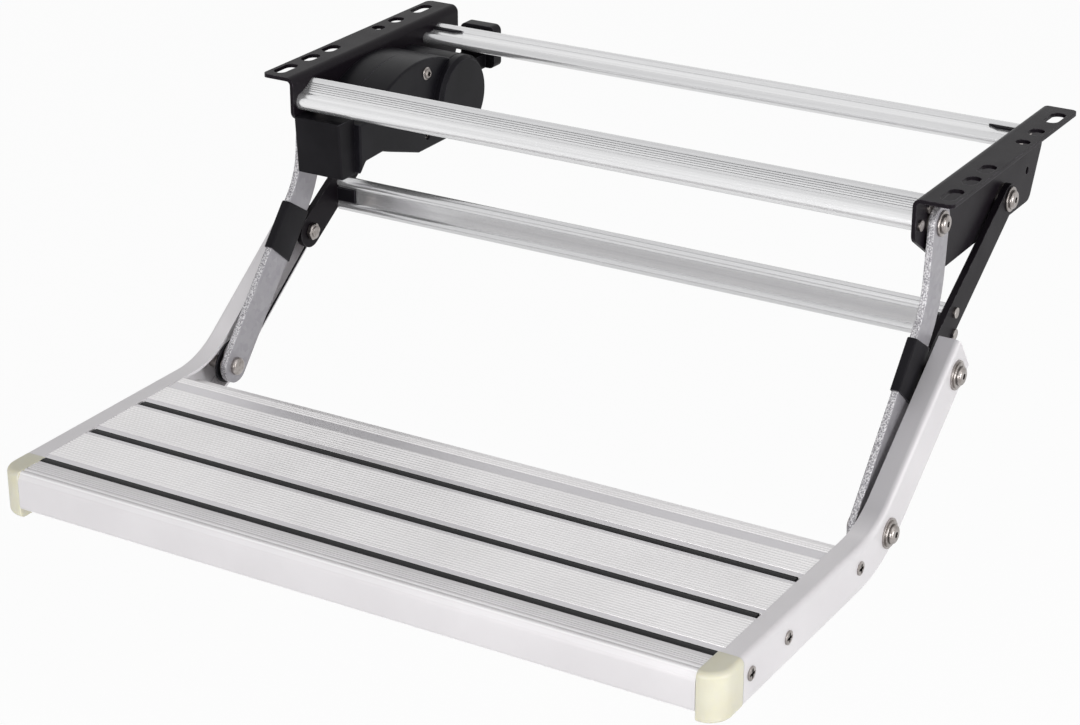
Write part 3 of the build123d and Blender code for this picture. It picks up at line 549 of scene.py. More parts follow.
@dataclass(frozen=True)
class AnodisedAluminium:
    """Satin anodised aluminium: an even fine grain, a faint cloudiness, painted shade in grooves, and
    painted highlights on edges.

    Where a face leans forward, it gets painted shade on the right rail and a painted highlight on the
    nosing.
    Flat faces between the heights margin_from and margin_to, the plain margins of the planks, get painted
    shade that makes them greyer than the ribs.
    """

    name: str
    colour: tuple
    shadow: tuple
    rough: tuple = (0.36, 0.48)
    grain: float = 1400.0
    depth: float = 0.00002
    edge: float = 0.0003
    metallic: float = 0.25
    specular: float = 0.2
    groove: float = 0.0015
    # how dark the painted shade in grooves gets
    groove_shade: float = 0.8
    lean_shade: float = 0.0
    lean_highlight: float = 0.0
    margin_shade: float = 0.0
    margin_from: tuple = (-0.2051, -0.20502)
    margin_to: tuple = (-0.2047, -0.20478)
    rail_x: tuple = (0.32, 0.26)
    rail_y: tuple = (-0.2, 0.27)
    nosing_x: tuple = (0.40, 0.44)
    # colour of the painted shade on the right rail's leaning faces
    grey: tuple = (0.27, 0.265, 0.28)
    margin_shade_colour: tuple = (0.55, 0.535, 0.565)
    # colour of the painted highlight on the nosing
    white: tuple = (1.0, 1.0, 1.0)
    # colour of the painted highlight along edges
    edge_highlight: tuple = (0.93, 0.92, 0.92)
    cloud_scale: float = 14.0
    sheen_scale: float = 420.0

    def patches(self, shade: Shade) -> tuple:
        """Where painted shade and a painted highlight depart from the even colour, by the way a face looks
        and its place.

        Args:
            shade: The nodes of the material.

        Returns:
            The socket of an amount and its colour, for each.
        """
        leaning = shade.times(shade.facing(Way.X), shade.facing(Way.Z))
        right_rail = shade.times(shade.position(Way.X, *self.rail_x), shade.position(Way.Y, *self.rail_y))
        # painted shade: the right rail's forward-leaning faces are greyer
        rail_lean_shade = shade.times(shade.spread(leaning, 0.0, self.lean_shade, 0.15, 0.42), right_rail)
        # painted shade: flat, upward-facing faces at the margins' height are greyer than the ribs
        flat = shade.spread(shade.facing(Way.Z), 0.0, self.margin_shade, 0.97, 0.995)
        level = shade.times(shade.position(Way.Z, *self.margin_from), shade.position(Way.Z, *self.margin_to))
        nosing = shade.position(Way.X, *self.nosing_x)
        # painted highlight: white on the nosing's forward-leaning rounded edge
        nosing_highlight = shade.times(shade.spread(leaning, 0.0, self.lean_highlight, 0.38, 0.49), nosing)
        return (rail_lean_shade, self.grey), (shade.times(flat, level), self.margin_shade_colour), (nosing_highlight, self.white)

    def material(self) -> bpy.types.Material:
        """Build the material.

        Returns:
            The material.
        """
        shade = Shade(self.name)
        shade.surface(self.metallic, self.specular)
        near, normal = shade.edge_amount(self.edge)
        cloud = shade.spread(shade.noise(self.cloud_scale, 5.0), 0.0, 1.0, 0.3, 0.7)
        colour = shade.blend(cloud, self.shadow, self.colour)
        # painted shade: darker in grooves and recesses, found by ambient occlusion
        hollow_shade = shade.spread(shade.openness(self.groove, 0.0), self.groove_shade, 0.0)
        colour = shade.over(hollow_shade, colour, tuple(channel * 0.3 for channel in self.shadow))
        for amount, patch in self.patches(shade):
            colour = shade.over(amount, colour, patch)
        # painted highlight: lighter near every edge
        colour = shade.over(shade.spread(near, 0.0, 0.6), colour, self.edge_highlight)
        shade.finish(colour, shade.spread(shade.noise(self.sheen_scale), *self.rough))
        shade.bump(shade.noise(self.grain, 2.0), self.depth, normal)
        return shade.material


@dataclass(frozen=True)
class GalvanisedSteel:
    """Zinc-coated steel: dull spangles on the faces, and rough speckled edges where it was cut."""

    name: str
    colour: tuple
    dark: tuple
    edge: float = 0.0022
    metallic: float = 0.5
    spangle_scale: float = 210.0
    grit_scale: float = 880.0
    grit_depth: float = 0.0002
    light_speck: tuple = (0.80, 0.79, 0.80)
    dark_speck: tuple = (0.16, 0.155, 0.165)

    def material(self) -> bpy.types.Material:
        """Build the material.

        Returns:
            The material.
        """
        shade = Shade(self.name)
        shade.surface(self.metallic)
        near, normal = shade.edge_amount(self.edge)
        cells = shade.add("TexVoronoi", {"Scale": self.spangle_scale}, feature="F1")
        shade.join(shade.place, cells.inputs["Vector"])
        split = shade.add("SeparateColor")
        shade.join(cells.outputs["Color"], split.inputs["Color"])
        spangled = shade.blend(shade.spread(split.outputs["Red"], 0.25, 1.0), self.dark, self.colour)
        edge_side = shade.spread(shade.facing(Way.Y), 1.0, 0.0, 0.3, 0.7)
        cut = shade.calculate("MAXIMUM", edge_side, shade.spread(near, 0.0, 0.5))
        grit = shade.noise(self.grit_scale, 2.0)
        light = shade.times(shade.spread(grit, 0.0, 0.7, 0.46, 0.60), cut)
        dark = shade.times(shade.spread(grit, 0.7, 0.0, 0.36, 0.46), edge_side)
        speckled = shade.over(dark, shade.over(light, spangled, self.light_speck), self.dark_speck)
        shade.finish(speckled, shade.spread(split.outputs["Green"], 0.38, 0.55))
        shade.bump(shade.times(grit, shade.spread(edge_side, 0.25, 1.0)), self.grit_depth, normal)
        return shade.material


@dataclass(frozen=True)
class Moulding:
    """Moulded plastic or rubber: an even fine grain, with softly lighter edges that are a painted highlight.
    """

    name: str
    colour: tuple
    lighter: tuple
    rough: tuple
    grain: float
    depth: float
    edge: float
    specular: float
    # strength of the painted highlight on edges
    edge_highlight_gain: float = 1.0
    cloud_scale: float = 22.0
    sheen_scale: float = 60.0

    def material(self) -> bpy.types.Material:
        """Build the material.

        Returns:
            The material.
        """
        shade = Shade(self.name)
        shade.surface(0.0, self.specular)
        near, normal = shade.edge_amount(self.edge)
        cloud = shade.spread(shade.noise(self.cloud_scale, 4.0), 0.0, 0.6, 0.35, 0.75)
        clouded = shade.blend(cloud, self.colour, self.lighter)
        # painted highlight along the edges
        edge_highlight_colour = tuple(channel * self.edge_highlight_gain for channel in self.lighter)
        rough = shade.spread(shade.noise(self.sheen_scale), *self.rough)
        shade.finish(shade.over(shade.spread(near, 0.0, 0.6), clouded, edge_highlight_colour), rough)
        shade.bump(shade.noise(self.grain, 2.0), self.depth, normal)
        return shade.material


@dataclass(frozen=True)
class CreamCap:
    """Soft cream plastic that lets a little light through."""

    name: str
    colour: tuple
    deep: tuple
    rough: tuple = (0.33, 0.45)
    specular: float = 0.45
    let_in: float = 0.35
    let_in_ratio: tuple = (1.0, 0.9, 0.5)
    let_in_reach: float = 0.004
    cloud_scale: float = 34.0
    sheen_scale: float = 90.0
    grain: float = 800.0
    depth: float = 0.00002

    def material(self) -> bpy.types.Material:
        """Build the material.

        Returns:
            The material.
        """
        shade = Shade(self.name)
        shade.surface(0.0, self.specular)
        shade.shader.inputs["Subsurface Weight"].default_value = self.let_in
        shade.shader.inputs["Subsurface Radius"].default_value = self.let_in_ratio
        shade.shader.inputs["Subsurface Scale"].default_value = self.let_in_reach
        cloud = shade.spread(shade.noise(self.cloud_scale), 0.0, 1.0, 0.3, 0.7)
        rough = shade.spread(shade.noise(self.sheen_scale), *self.rough)
        shade.finish(shade.blend(cloud, self.deep, self.colour), rough)
        shade.bump(shade.noise(self.grain, 2.0), self.depth)
        return shade.material


@dataclass(frozen=True)
class PlatedSteel:
    """Plated metal: faint tarnish, fine handling marks, and painted shade where it lies in recesses."""

    name: str
    colour: tuple
    tarnish: tuple
    rough: tuple = (0.22, 0.4)
    edge: float = 0.0005
    # colour of the painted shade in recesses
    recess_shade: tuple = (0.03, 0.027, 0.025)
    recess_shade_reach: float = 0.004
    spot_scale: float = 240.0
    sheen_scale: float = 520.0
    mark_scale: float = 1100.0
    mark_depth: float = 0.00003

    def material(self) -> bpy.types.Material:
        """Build the material.

        Returns:
            The material.
        """
        shade = Shade(self.name)
        shade.surface(1.0)
        normal = shade.edge_amount(self.edge)[1]
        spots = shade.spread(shade.noise(self.spot_scale, 4.0), 0.0, 1.0, 0.35, 0.7)
        spotted = shade.blend(spots, self.colour, self.tarnish)
        # painted shade: dark in recesses, found by ambient occlusion
        hollow_shade = shade.spread(shade.openness(self.recess_shade_reach, 0.0), 1.0, 0.0, 0.35, 0.85)
        rough = shade.spread(shade.noise(self.sheen_scale, 2.0), *self.rough)
        shade.finish(shade.over(hollow_shade, spotted, self.recess_shade), rough)
        shade.bump(shade.noise(self.mark_scale, 2.0), self.mark_depth, normal)
        return shade.material


@dataclass(frozen=True)
class Finishes:
    """Every finish of the step, by the slot that takes it."""

    kinds: tuple = (
        PaintedSteel("bracket_paint", (0.007, 0.005, 0.0075), (0.20, 0.18, 0.21)),
        PaintedSteel("arm_paint", (0.007, 0.0055, 0.0075), (0.24, 0.23, 0.24), rough=(0.38, 0.5)),
        GalvanisedSteel("galvanised_steel", (0.36, 0.35, 0.37), (0.30, 0.29, 0.315)),
        DrawnAluminium("bright_aluminium", (0.93, 0.93, 0.935), (0.52, 0.52, 0.53), way=Way.Y,
                       line_scale=420.0, rough=(0.16, 0.28), depth=0.00002),
        # the satin finish paints shade on the right rail's leaning faces and a highlight on the nosing
        AnodisedAluminium("satin_aluminium", (0.735, 0.715, 0.73), (0.685, 0.665, 0.68),
                          lean_shade=0.6, lean_highlight=0.5),
        # the ribbed finish paints shade on the planks' flat margins
        AnodisedAluminium("ribbed_aluminium", (0.89, 0.875, 0.88), (0.83, 0.815, 0.82), rough=(0.34, 0.46),
                          grain=1500.0, depth=0.00001, edge=0.0002, metallic=0.6, margin_shade=0.6),
        CreamCap("cap_plastic", (0.70, 0.68, 0.56), (0.65, 0.62, 0.49)),
        Moulding("strip_rubber", (0.008, 0.008, 0.009), (0.02, 0.02, 0.021), rough=(0.5, 0.62),
                 grain=1800.0, depth=0.00004, edge=0.0006, specular=0.2),
        # these mouldings paint a strong highlight on their edges
        Moulding("black_plastic", (0.006, 0.0055, 0.007), (0.018, 0.017, 0.02), rough=(0.34, 0.46),
                 grain=1200.0, depth=0.00003, edge=0.0010, specular=0.08, edge_highlight_gain=7.0),
        Moulding("housing_plastic", (0.0055, 0.0052, 0.007), (0.018, 0.017, 0.021), rough=(0.30, 0.42),
                 grain=1600.0, depth=0.00002, edge=0.0014, specular=0.10, edge_highlight_gain=5.0),
        PlatedSteel("fastener_steel", (0.42, 0.39, 0.375), (0.25, 0.225, 0.21)),
        PlatedSteel("motor_steel", (0.55, 0.55, 0.56), (0.42, 0.42, 0.44), rough=(0.3, 0.5)),
        PlatedSteel("gear_bronze", (0.66, 0.47, 0.24), (0.5, 0.34, 0.17), rough=(0.3, 0.45)),
    )
    made: dict = field(default_factory=dict)

    def get(self, slot: str) -> bpy.types.Material:
        """The material of a slot, made when it is first asked for.

        Args:
            slot: Name of the slot.

        Returns:
            The material.
        """
        if slot not in self.made:
            self.made[slot] = next(kind for kind in self.kinds if kind.name == slot).material()
        return self.made[slot]

    def dress_nodes(self) -> None:
        """Give every CAD node the finish of its slot."""
        slots = {part["node"]: part["material_slot"] for part in frame["record"]["subparts"]}
        for name, node in frame["nodes"].items():
            node.data.materials.clear()
            node.data.materials.append(self.get(slots[name]))

    def dress(self, piece: bpy.types.Object, slot: str, body: str, *replaced: str) -> None:
        """Finish a new piece, let it ride on its body and stand for its nodes.

        Args:
            piece: The new piece.
            slot: Its material slot.
            body: Body that it rides on.
            *replaced: CAD nodes that it stands for.
        """
        piece.data.materials.append(self.get(slot))
        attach(piece, body)
        if replaced:
            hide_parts(*replaced)
        LOG.info("%s rides on %s, %d faces", piece.name, body, len(piece.data.polygons))


# The pieces of the step


@dataclass
class Tread:
    """The planks and the nosing, the grip strips between them and the corner caps, in millimetres."""

    finishes: Finishes
    top: float = -204.5
    height: float = 30.0
    rear_edge: float = 253.2
    plank_w: float = 50.3
    groove_w: float = 6.7
    nose_x: float = 448.5
    rail_in: float = 275.0
    cap_in: float = 273.0
    cap_rear: float = 418.0
    cap_out: float = 291.5
    cap_bottom: float = -241.0
    cap_corner: float = 16.0
    cap_small: float = 0.8
    cap_edge: float = 4.2
    cap_gap: float = 0.03
    rib_pitch: float = 3.1
    rib_depth: float = 0.85
    plain_band: tuple = (9.0, 9.2, 20.0, 20.2)
    nose_ribs: tuple = (3.4, 13.0)
    nose_rib_pitch: float = 2.4
    nose_rib_depth: float = 1.0
    rear_margin: float = 3.6
    front_margin: float = 7.2
    ledge: float = 0.5
    shelf_drop: float = 4.6
    strip_drop: float = 0.15
    lug_x: float = 236.5
    lug_top: float = -212.5
    lug_h: float = 16.0
    body: str = "tread"

    def rear_of(self, index: int) -> float:
        """Rear edge of a plank by its number from the rear, the nosing being number 3."""
        return self.rear_edge + index * (self.plank_w + self.groove_w)

    def plank_top(self, x_rear: float, x_front: float, rear_band: bool) -> np.ndarray:
        """Top line of a plank: a margin, ribs, a thin raised line, and a slightly sunk margin.

        Args:
            x_rear: Rear edge.
            x_front: Front edge.
            rear_band: True for the rear plank, whose ribs are parted by a plain band.

        Returns:
            Points from the rear to the front.
        """
        ribs_end = x_front - self.front_margin
        low = self.top - self.ledge
        ridge = np.array([[ribs_end, self.top - self.rib_depth], [ribs_end + 0.2, self.top],
                          [ribs_end + 1.1, self.top], [ribs_end + 1.3, low], [x_front - 0.8, low]])
        corner = arc((x_front - 0.5, low - 0.5), 0.5, 90, 0, 4)
        if rear_band:
            ribs_to, band_from, band_to, ribs_from = (x_rear + x for x in self.plain_band)
            first = ribbed_line(x_rear + 1.0, ribs_to, self.rib_pitch, self.rib_depth, self.top)
            band = np.array([[band_from, low], [band_to, low]])
            second = ribbed_line(ribs_from, ribs_end, self.rib_pitch, self.rib_depth, self.top)
            ribs = np.concatenate([first, band, second])
        else:
            margin = np.array([[x_rear + 0.5, low + 0.2], [x_rear + self.rear_margin - 0.3, low + 0.2]])
            ribs = ribbed_line(x_rear + self.rear_margin, ribs_end, self.rib_pitch, self.rib_depth, self.top)
            ribs = np.concatenate([margin, ribs])
        start = arc((x_rear + 0.5, self.top - 1.0), 0.5, 180, 90, 4)
        return np.concatenate([start, ribs, ridge, corner])

    def planks(self) -> None:
        """The three planks: ribbed on top, with lips that carry the strip before each."""
        bottom = self.top - self.height
        for index, name in enumerate(("rear", "middle", "front")):
            x_rear = self.rear_of(index)
            x_front = x_rear + self.plank_w
            lip = x_front + self.groove_w
            shelf = self.top - self.shelf_drop
            front = np.array([[x_front, shelf], [lip, shelf], [lip, shelf - 2.0], [x_front, shelf - 2.0],
                              [x_front, bottom + 2.0], [lip, bottom + 2.0], [lip, bottom]])
            rear = np.array([[x_rear, bottom]])
            if index == 0:
                lug_bottom = self.lug_top - self.lug_h
                rear = np.array([[x_rear, bottom], [x_rear, lug_bottom], [self.lug_x, lug_bottom],
                                 [self.lug_x, self.lug_top], [x_rear, self.lug_top]])
            outline = np.concatenate([self.plank_top(x_rear, x_front, index == 0), front, rear])
            reach = self.rail_in - 0.1
            piece = bar_along_y(f"{name}_plank_dressed", outline, -reach, reach)
            self.finishes.dress(piece, "ribbed_aluminium", self.body, f"{name}_plank")
            self.strip(name, x_front)

    def strip(self, name: str, x_from: float) -> None:
        """A grip strip: a low crown between two small side lips, set in the groove before a plank.

        The crown is a parabola: it swells by 0.35 * (1 - v^2), v running from -1 to 1 across the strip.

        Args:
            name: Name of the plank.
            x_from: Rear edge of the groove.
        """
        x_to = x_from + self.groove_w
        low, high = self.top - self.shelf_drop, self.top - self.strip_drop
        across = np.linspace(x_from + 0.9, x_to - 0.9, 15)
        swell = 0.35 * (1.0 - (2.0 * (across - across[0]) / (across[-1] - across[0]) - 1.0) ** 2)
        crown = np.column_stack([across, high - 0.35 + swell])
        left = np.array([[x_from, low], [x_from, high - 0.25], [x_from + 0.45, high - 0.15],
                         [x_from + 0.6, high - 0.7]])
        right = np.array([[x_to - 0.6, high - 0.7], [x_to - 0.45, high - 0.15], [x_to, high - 0.25],
                          [x_to, low]])
        outline = np.concatenate([left, crown, right])
        piece = bar_along_y(f"{name}_strip_dressed", outline, -self.cap_in, self.cap_in)
        self.finishes.dress(piece, "strip_rubber", self.body, f"{name}_grip_strip")

    def nosing(self) -> None:
        """The nosing: a margin, fine ribs, two round ridges at the edge, and a smooth front face."""
        x_rear = self.rear_of(3)
        bottom = self.top - self.height
        low = self.top - 0.3
        start = arc((x_rear + 0.5, low - 0.5), 0.5, 180, 90, 4)
        ribs_from, ribs_to = (x_rear + x for x in self.nose_ribs)
        ribs = ribbed_line(ribs_from, ribs_to, self.nose_rib_pitch, self.nose_rib_depth, self.top)
        first = arc((x_rear + 14.9, self.top - 2.3), 2.3, 165, 22, 12)
        second = arc((x_rear + 19.4, self.top - 2.7), 2.5, 155, 20, 12)
        face_x = self.nose_x
        face = np.array([[x_rear + 22.0, self.top - 2.6], [face_x - 0.9, self.top - 4.6],
                         [face_x - 0.3, self.top - 6.2], [face_x, self.top - 8.5], [face_x, bottom + 4.0]])
        toe = arc((face_x - 4.0, bottom + 4.0), 4.0, 0, -90, 8)
        outline = np.concatenate([start, ribs, first, second, face, toe, [[x_rear, bottom]]])
        piece = bar_along_y("nosing_dressed", outline, -self.cap_in, self.cap_in)
        self.finishes.dress(piece, "satin_aluminium", self.body, "nosing_plank")

    def cap_rings(self, side: int) -> np.ndarray:
        """Rings of a corner cap: its plan, drawn in towards its seam corner where top and bottom round off.

        The plan is a rectangle whose outer front corner has the large radius and the others a small
        one. Ring k shrinks it by r * (1 - sin t) on its two outer sides, at a height of r * (1 - cos t) from
        the nearer end, with r the rounding of the edges.

        Args:
            side: 1 for the right cap and -1 for the left.

        Returns:
            Array of rings, points and coordinates.
        """
        small, big, r = self.cap_small, self.cap_corner, self.cap_edge
        x0, x1, y0, y1 = self.cap_rear + self.cap_gap, self.nose_x, self.cap_in + self.cap_gap, self.cap_out
        plan = np.concatenate([arc((x0 + small, y0 + small), small, 180, 270, 5),
                               arc((x1 - small, y0 + small), small, 270, 360, 5),
                               arc((x1 - big, y1 - big), big, 0, 90, 16),
                               arc((x0 + small, y1 - small), small, 90, 180, 5)])
        seam = np.array([x0, y0])
        size = np.array([x1 - x0, y1 - y0])
        t = np.linspace(0.0, np.pi / 2, 10)
        inset = np.concatenate([r * (1 - np.sin(t)), r * (1 - np.sin(t[::-1]))])
        low, high = self.cap_bottom + r * (1 - np.cos(t)), self.top - r * (1 - np.cos(t[::-1]))
        heights = np.concatenate([low, high])
        shrink = 1.0 - inset[:, None, None] / size
        flat = seam + (plan - seam)[None] * shrink
        z = np.broadcast_to(heights[:, None, None], (len(heights), len(plan), 1))
        rings = np.concatenate([flat, z], axis=2)
        rings[..., 1] *= side
        return rings if side < 0 else rings[:, ::-1]

    def end_caps(self) -> None:
        """The two cream corner caps."""
        for side, name in SIDES:
            piece = lofted(f"{name}_cap_dressed", self.cap_rings(side))
            self.finishes.dress(piece, "cap_plastic", self.body, f"{name}_end_cap")

    def build(self) -> None:
        """Build and dress the whole tread."""
        self.planks()
        self.nosing()
        self.end_caps()


@dataclass
class Sleeves:
    """The black sleeves pushed over the front arms, in millimetres."""

    finishes: Finishes
    bend: tuple = (91.5, -88.0)
    lower: tuple = (199.0, -213.5)
    start: float = 25.3
    length: float = 44.0
    arm_w: float = 27.0
    arm_in: float = 266.0
    arm_out: float = 271.0
    face_t: float = 1.3
    edge_t: float = 1.6
    corner_r: float = 1.4
    slant: float = 4.0
    lower_slant: float = -1.2

    def rings(self, side: int) -> np.ndarray:
        """Rings along the arm: a round-cornered rectangle, with a rolled lip and a sunk face at each end.

        A point of the section is (across, out); its place is bend + s * along + across * normal, and s
        gains slant * across / width at the upper end and lower_slant * across / width at the lower end,
        so that the ends run at an angle.

        Args:
            side: 1 for the right sleeve and -1 for the left.

        Returns:
            Array of rings, points and coordinates.
        """
        run = np.array(self.lower) - np.array(self.bend)
        run = run / np.linalg.norm(run)
        across = np.array([-run[1], run[0]])
        half_w = self.arm_w / 2 + self.edge_t
        half_t = (self.arm_out - self.arm_in) / 2 + self.face_t
        r = self.corner_r
        corners = [(half_w - r, half_t - r, 0), (-half_w + r, half_t - r, 90),
                   (-half_w + r, -half_t + r, 180), (half_w - r, -half_t + r, 270)]
        outer = np.concatenate([arc(corner[:2], r, corner[2], corner[2] + 90, 5) for corner in corners])
        stations = np.array([1.6, 0.0, 0.0, 0.5, 1.4, self.length - 1.4, self.length - 0.5, self.length,
                             self.length, self.length - 1.6])
        inset = np.array([0.95, 0.9, 0.35, 0.08, 0.0, 0.0, 0.08, 0.35, 0.9, 0.95])
        shrink = 1.0 - inset[:, None, None] / np.array([half_w, half_t])
        section = outer[None] * shrink
        slants = np.where(stations < self.length / 2, self.slant, self.lower_slant)
        lean = slants[:, None] * section[..., 0] / (2 * half_w)
        s = self.start + stations[:, None] + np.maximum(lean, -self.slant / 2) + self.slant / 2
        s = np.minimum(s, self.start + self.length)
        x = self.bend[0] + s * run[0] + section[..., 0] * across[0]
        z = self.bend[1] + s * run[1] + section[..., 0] * across[1]
        y = side * ((self.arm_in + self.arm_out) / 2 + section[..., 1])
        rings = np.stack([x, y, z], axis=2)
        return rings[:, ::-1] if side > 0 else rings

    def build(self) -> None:
        """Build and dress both sleeves."""
        for side, name in SIDES:
            piece = lofted(f"{name}_sleeve_dressed", self.rings(side))
            self.finishes.dress(piece, "black_plastic", f"{name}_front_arm", f"{name}_arm_sleeve")


@dataclass
class RailScrews:
    """The six screws that hold the planks to the rails, in millimetres."""

    finishes: Finishes
    places: tuple = ((408.0, -220.0), (355.0, -220.0), (244.85, -220.0))
    web: float = 291.5
    shank_r: float = 2.4
    length: float = 22.0
    head_r: float = 5.0
    cross_r: float = 2.7

    def build(self) -> None:
        """Build and dress the six screws: a shank, a low domed head and a cross-shaped drive."""
        rim = self.web + 0.05
        radius = np.array([self.shank_r * 0.5, self.shank_r, self.shank_r, self.head_r, self.head_r,
                           5.0, 4.6, 4.1, self.cross_r + 0.1, self.cross_r, self.cross_r * 0.9])
        rise = np.array([1 - self.length, 2 - self.length, 0.0, 0.0, 0.5, 0.9, 1.1, 1.25, 1.3, 1.1, -1.4])
        for index, at in enumerate(self.places):
            for side in (-1, 1):
                name = f"rail_screw_{index}_{side + 1}"
                screw = turned(name, radius, rim + rise, (4, 0.45, 8, 10), at, side)
                self.finishes.dress(screw, "fastener_steel", "tread", "rail_screws")


@dataclass
class PivotTrim:
    """The edging in the rails' upper ends, the rivets and the nuts on the inner side, in millimetres."""

    finishes: Finishes
    front_lower: tuple = (199.0, -213.5)
    rear_lower: tuple = (92.5, -135.0)
    channel_way: tuple = (0.805, -0.593)
    end_r: float = 15.0
    cut_at: float = 275.3
    rim_at: float = 273.8
    rim_points: int = 260
    rim_w: float = 1.1
    end_w: float = 4.0
    end_run: float = 12.0
    near_r: float = 40.0
    ease: float = 0.2
    arm_out: float = 271.0
    nut_seat: float = 265.7

    def rim_line(self, name: str, side: int) -> np.ndarray:
        """The outline of a rail's insert, where a plane behind the flange edges cuts its merged mesh.

        Args:
            name: Name of the side.
            side: 1 for the right rail and -1 for the left.

        Returns:
            X and Z of evenly spaced points in millimetres, anticlockwise.
        """
        net = bmesh.new()
        net.from_mesh(frame["nodes"][f"{name}_rail_insert"].data)
        bmesh.ops.remove_doubles(net, verts=net.verts, dist=1e-6)
        cut = bmesh.ops.bisect_plane(net, geom=[*net.verts, *net.edges, *net.faces], clear_outer=True,
                                     plane_co=(0, side * self.cut_at * MM, 0), plane_no=(0, side, 0))
        links = {}
        for edge in (item for item in cut["geom_cut"] if isinstance(item, bmesh.types.BMEdge)):
            links.setdefault(edge.verts[0], []).append(edge.verts[1])
            links.setdefault(edge.verts[1], []).append(edge.verts[0])
        start = max(links, key=lambda vert: (round(vert.co.x, 7), vert.co.z))
        line = [start, links[start][0]]
        while line[-1] is not start:
            line.append(next(vert for vert in links[line[-1]] if vert is not line[-2]))
        corners = np.array([(vert.co.x, vert.co.z) for vert in line]) / MM
        net.free()
        travel = np.concatenate([[0.0], np.cumsum(np.hypot(*np.diff(corners, axis=0).T))])
        steps = np.linspace(0.0, travel[-1], self.rim_points, endpoint=False)
        outline = np.stack([np.interp(steps, travel, corners[:, axis]) for axis in (0, 1)], axis=1)
        return outline if signed_area(outline) > 0 else outline[::-1]

    def edging(self, name: str, side: int) -> bpy.types.Object:
        """A thin rim round a rail's insert, drawn in to the arm's end at the front pivot.

        A point nearer than near_r, at d from the front pivot and at a beyond it along the channel, goes
        to the distance min(d, end_r - ease * min(a, 0)). The rim is rim_w wide, and end_w wider round
        the pivot.

        Args:
            name: Name of the side.
            side: 1 for the right rail and -1 for the left.

        Returns:
            The new object.
        """
        outline = self.rim_line(name, side)
        away = outline - np.array(self.front_lower)
        reach = np.hypot(*away.T)
        beyond = away @ np.array(self.channel_way)
        near = reach < self.near_r
        drawn_in = np.minimum(reach, self.end_r - self.ease * np.minimum(beyond, 0.0))
        kept = np.where(near, drawn_in, reach)
        outline = np.array(self.front_lower) + away * (kept / reach)[:, None]
        along = np.roll(outline, -1, axis=0) - np.roll(outline, 1, axis=0)
        inward = np.stack([-along[:, 1], along[:, 0]], axis=1) / np.hypot(*along.T)[:, None]
        growth = np.clip((beyond + self.end_run) / self.end_run, 0.0, 1.0)
        wide = self.rim_w + self.end_w * growth * near
        share = np.array([0.0, 0.15, 0.85, 1.0, 1.0, 0.0])
        depth = np.array([0.3, 0.0, 0.0, 0.3, 1.4, 1.4])
        rings = np.zeros((len(share), len(outline), 3))
        rings[..., [0, 2]] = outline + share[:, None, None] * wide[:, None] * inward
        rings[..., 1] = side * (self.rim_at + depth[:, None])
        count = len(outline)
        ring, spot = np.meshgrid(np.arange(len(share)), np.arange(count), indexing="ij")
        here, ahead, beside = ring * count, (ring + 1) % len(share) * count, (spot + 1) % count
        quads = np.stack([here + spot, here + beside, ahead + beside, ahead + spot], axis=-1)
        quads = quads.reshape(-1, 4)[:, ::side]
        return mesh_piece(f"{name}_edging_dressed", rings.reshape(-1, 3) * MM, quads.tolist())

    def rivet(self, name: str, side: int) -> bpy.types.Object:
        """A rivet with a low domed head on the arm's inner face.

        Args:
            name: Name of the piece.
            side: 1 for the right arm and -1 for the left.

        Returns:
            The new object.
        """
        radius = np.array([4.6, 5.0, 5.0, 7.0, 7.0, 6.6, 5.8, 4.4, 2.6, 0.8])
        rise = np.array([0.05, 0.4, 4.95, 5.0, 7.4, 8.1, 8.5, 8.8, 8.95, 9.0])
        return turned(name, radius, rise - self.arm_out, (1, 0.0, 0, 0), self.front_lower, -side)

    def nut(self, name: str, side: int) -> bpy.types.Object:
        """A small nut with the end of its bolt, on the rear arm's inner face.

        Args:
            name: Name of the piece.
            side: 1 for the right arm and -1 for the left.

        Returns:
            The new object.
        """
        radius = np.array([6.2, 6.6, 6.6, 6.0, 4.5, 4.4, 3.8, 1.2])
        rise = np.array([0.0, 0.3, 3.2, 3.8, 3.85, 4.6, 4.95, 5.0])
        return turned(name, radius, rise - self.nut_seat, (6, 0.06, 0, 3), self.rear_lower, -side)

    def build(self) -> None:
        """Build and dress both sides."""
        for side, name in SIDES:
            rim = self.edging(name, side)
            self.finishes.dress(rim, "black_plastic", "tread", f"{name}_rail_insert")
            rivet = self.rivet(f"{name}_rivet_dressed", side)
            self.finishes.dress(rivet, "fastener_steel", f"{name}_front_arm", f"{name}_arm_rivet")
            nut = self.nut(f"{name}_nut_dressed", side)
            self.finishes.dress(nut, "fastener_steel", "tread", "rear_tread_nuts")


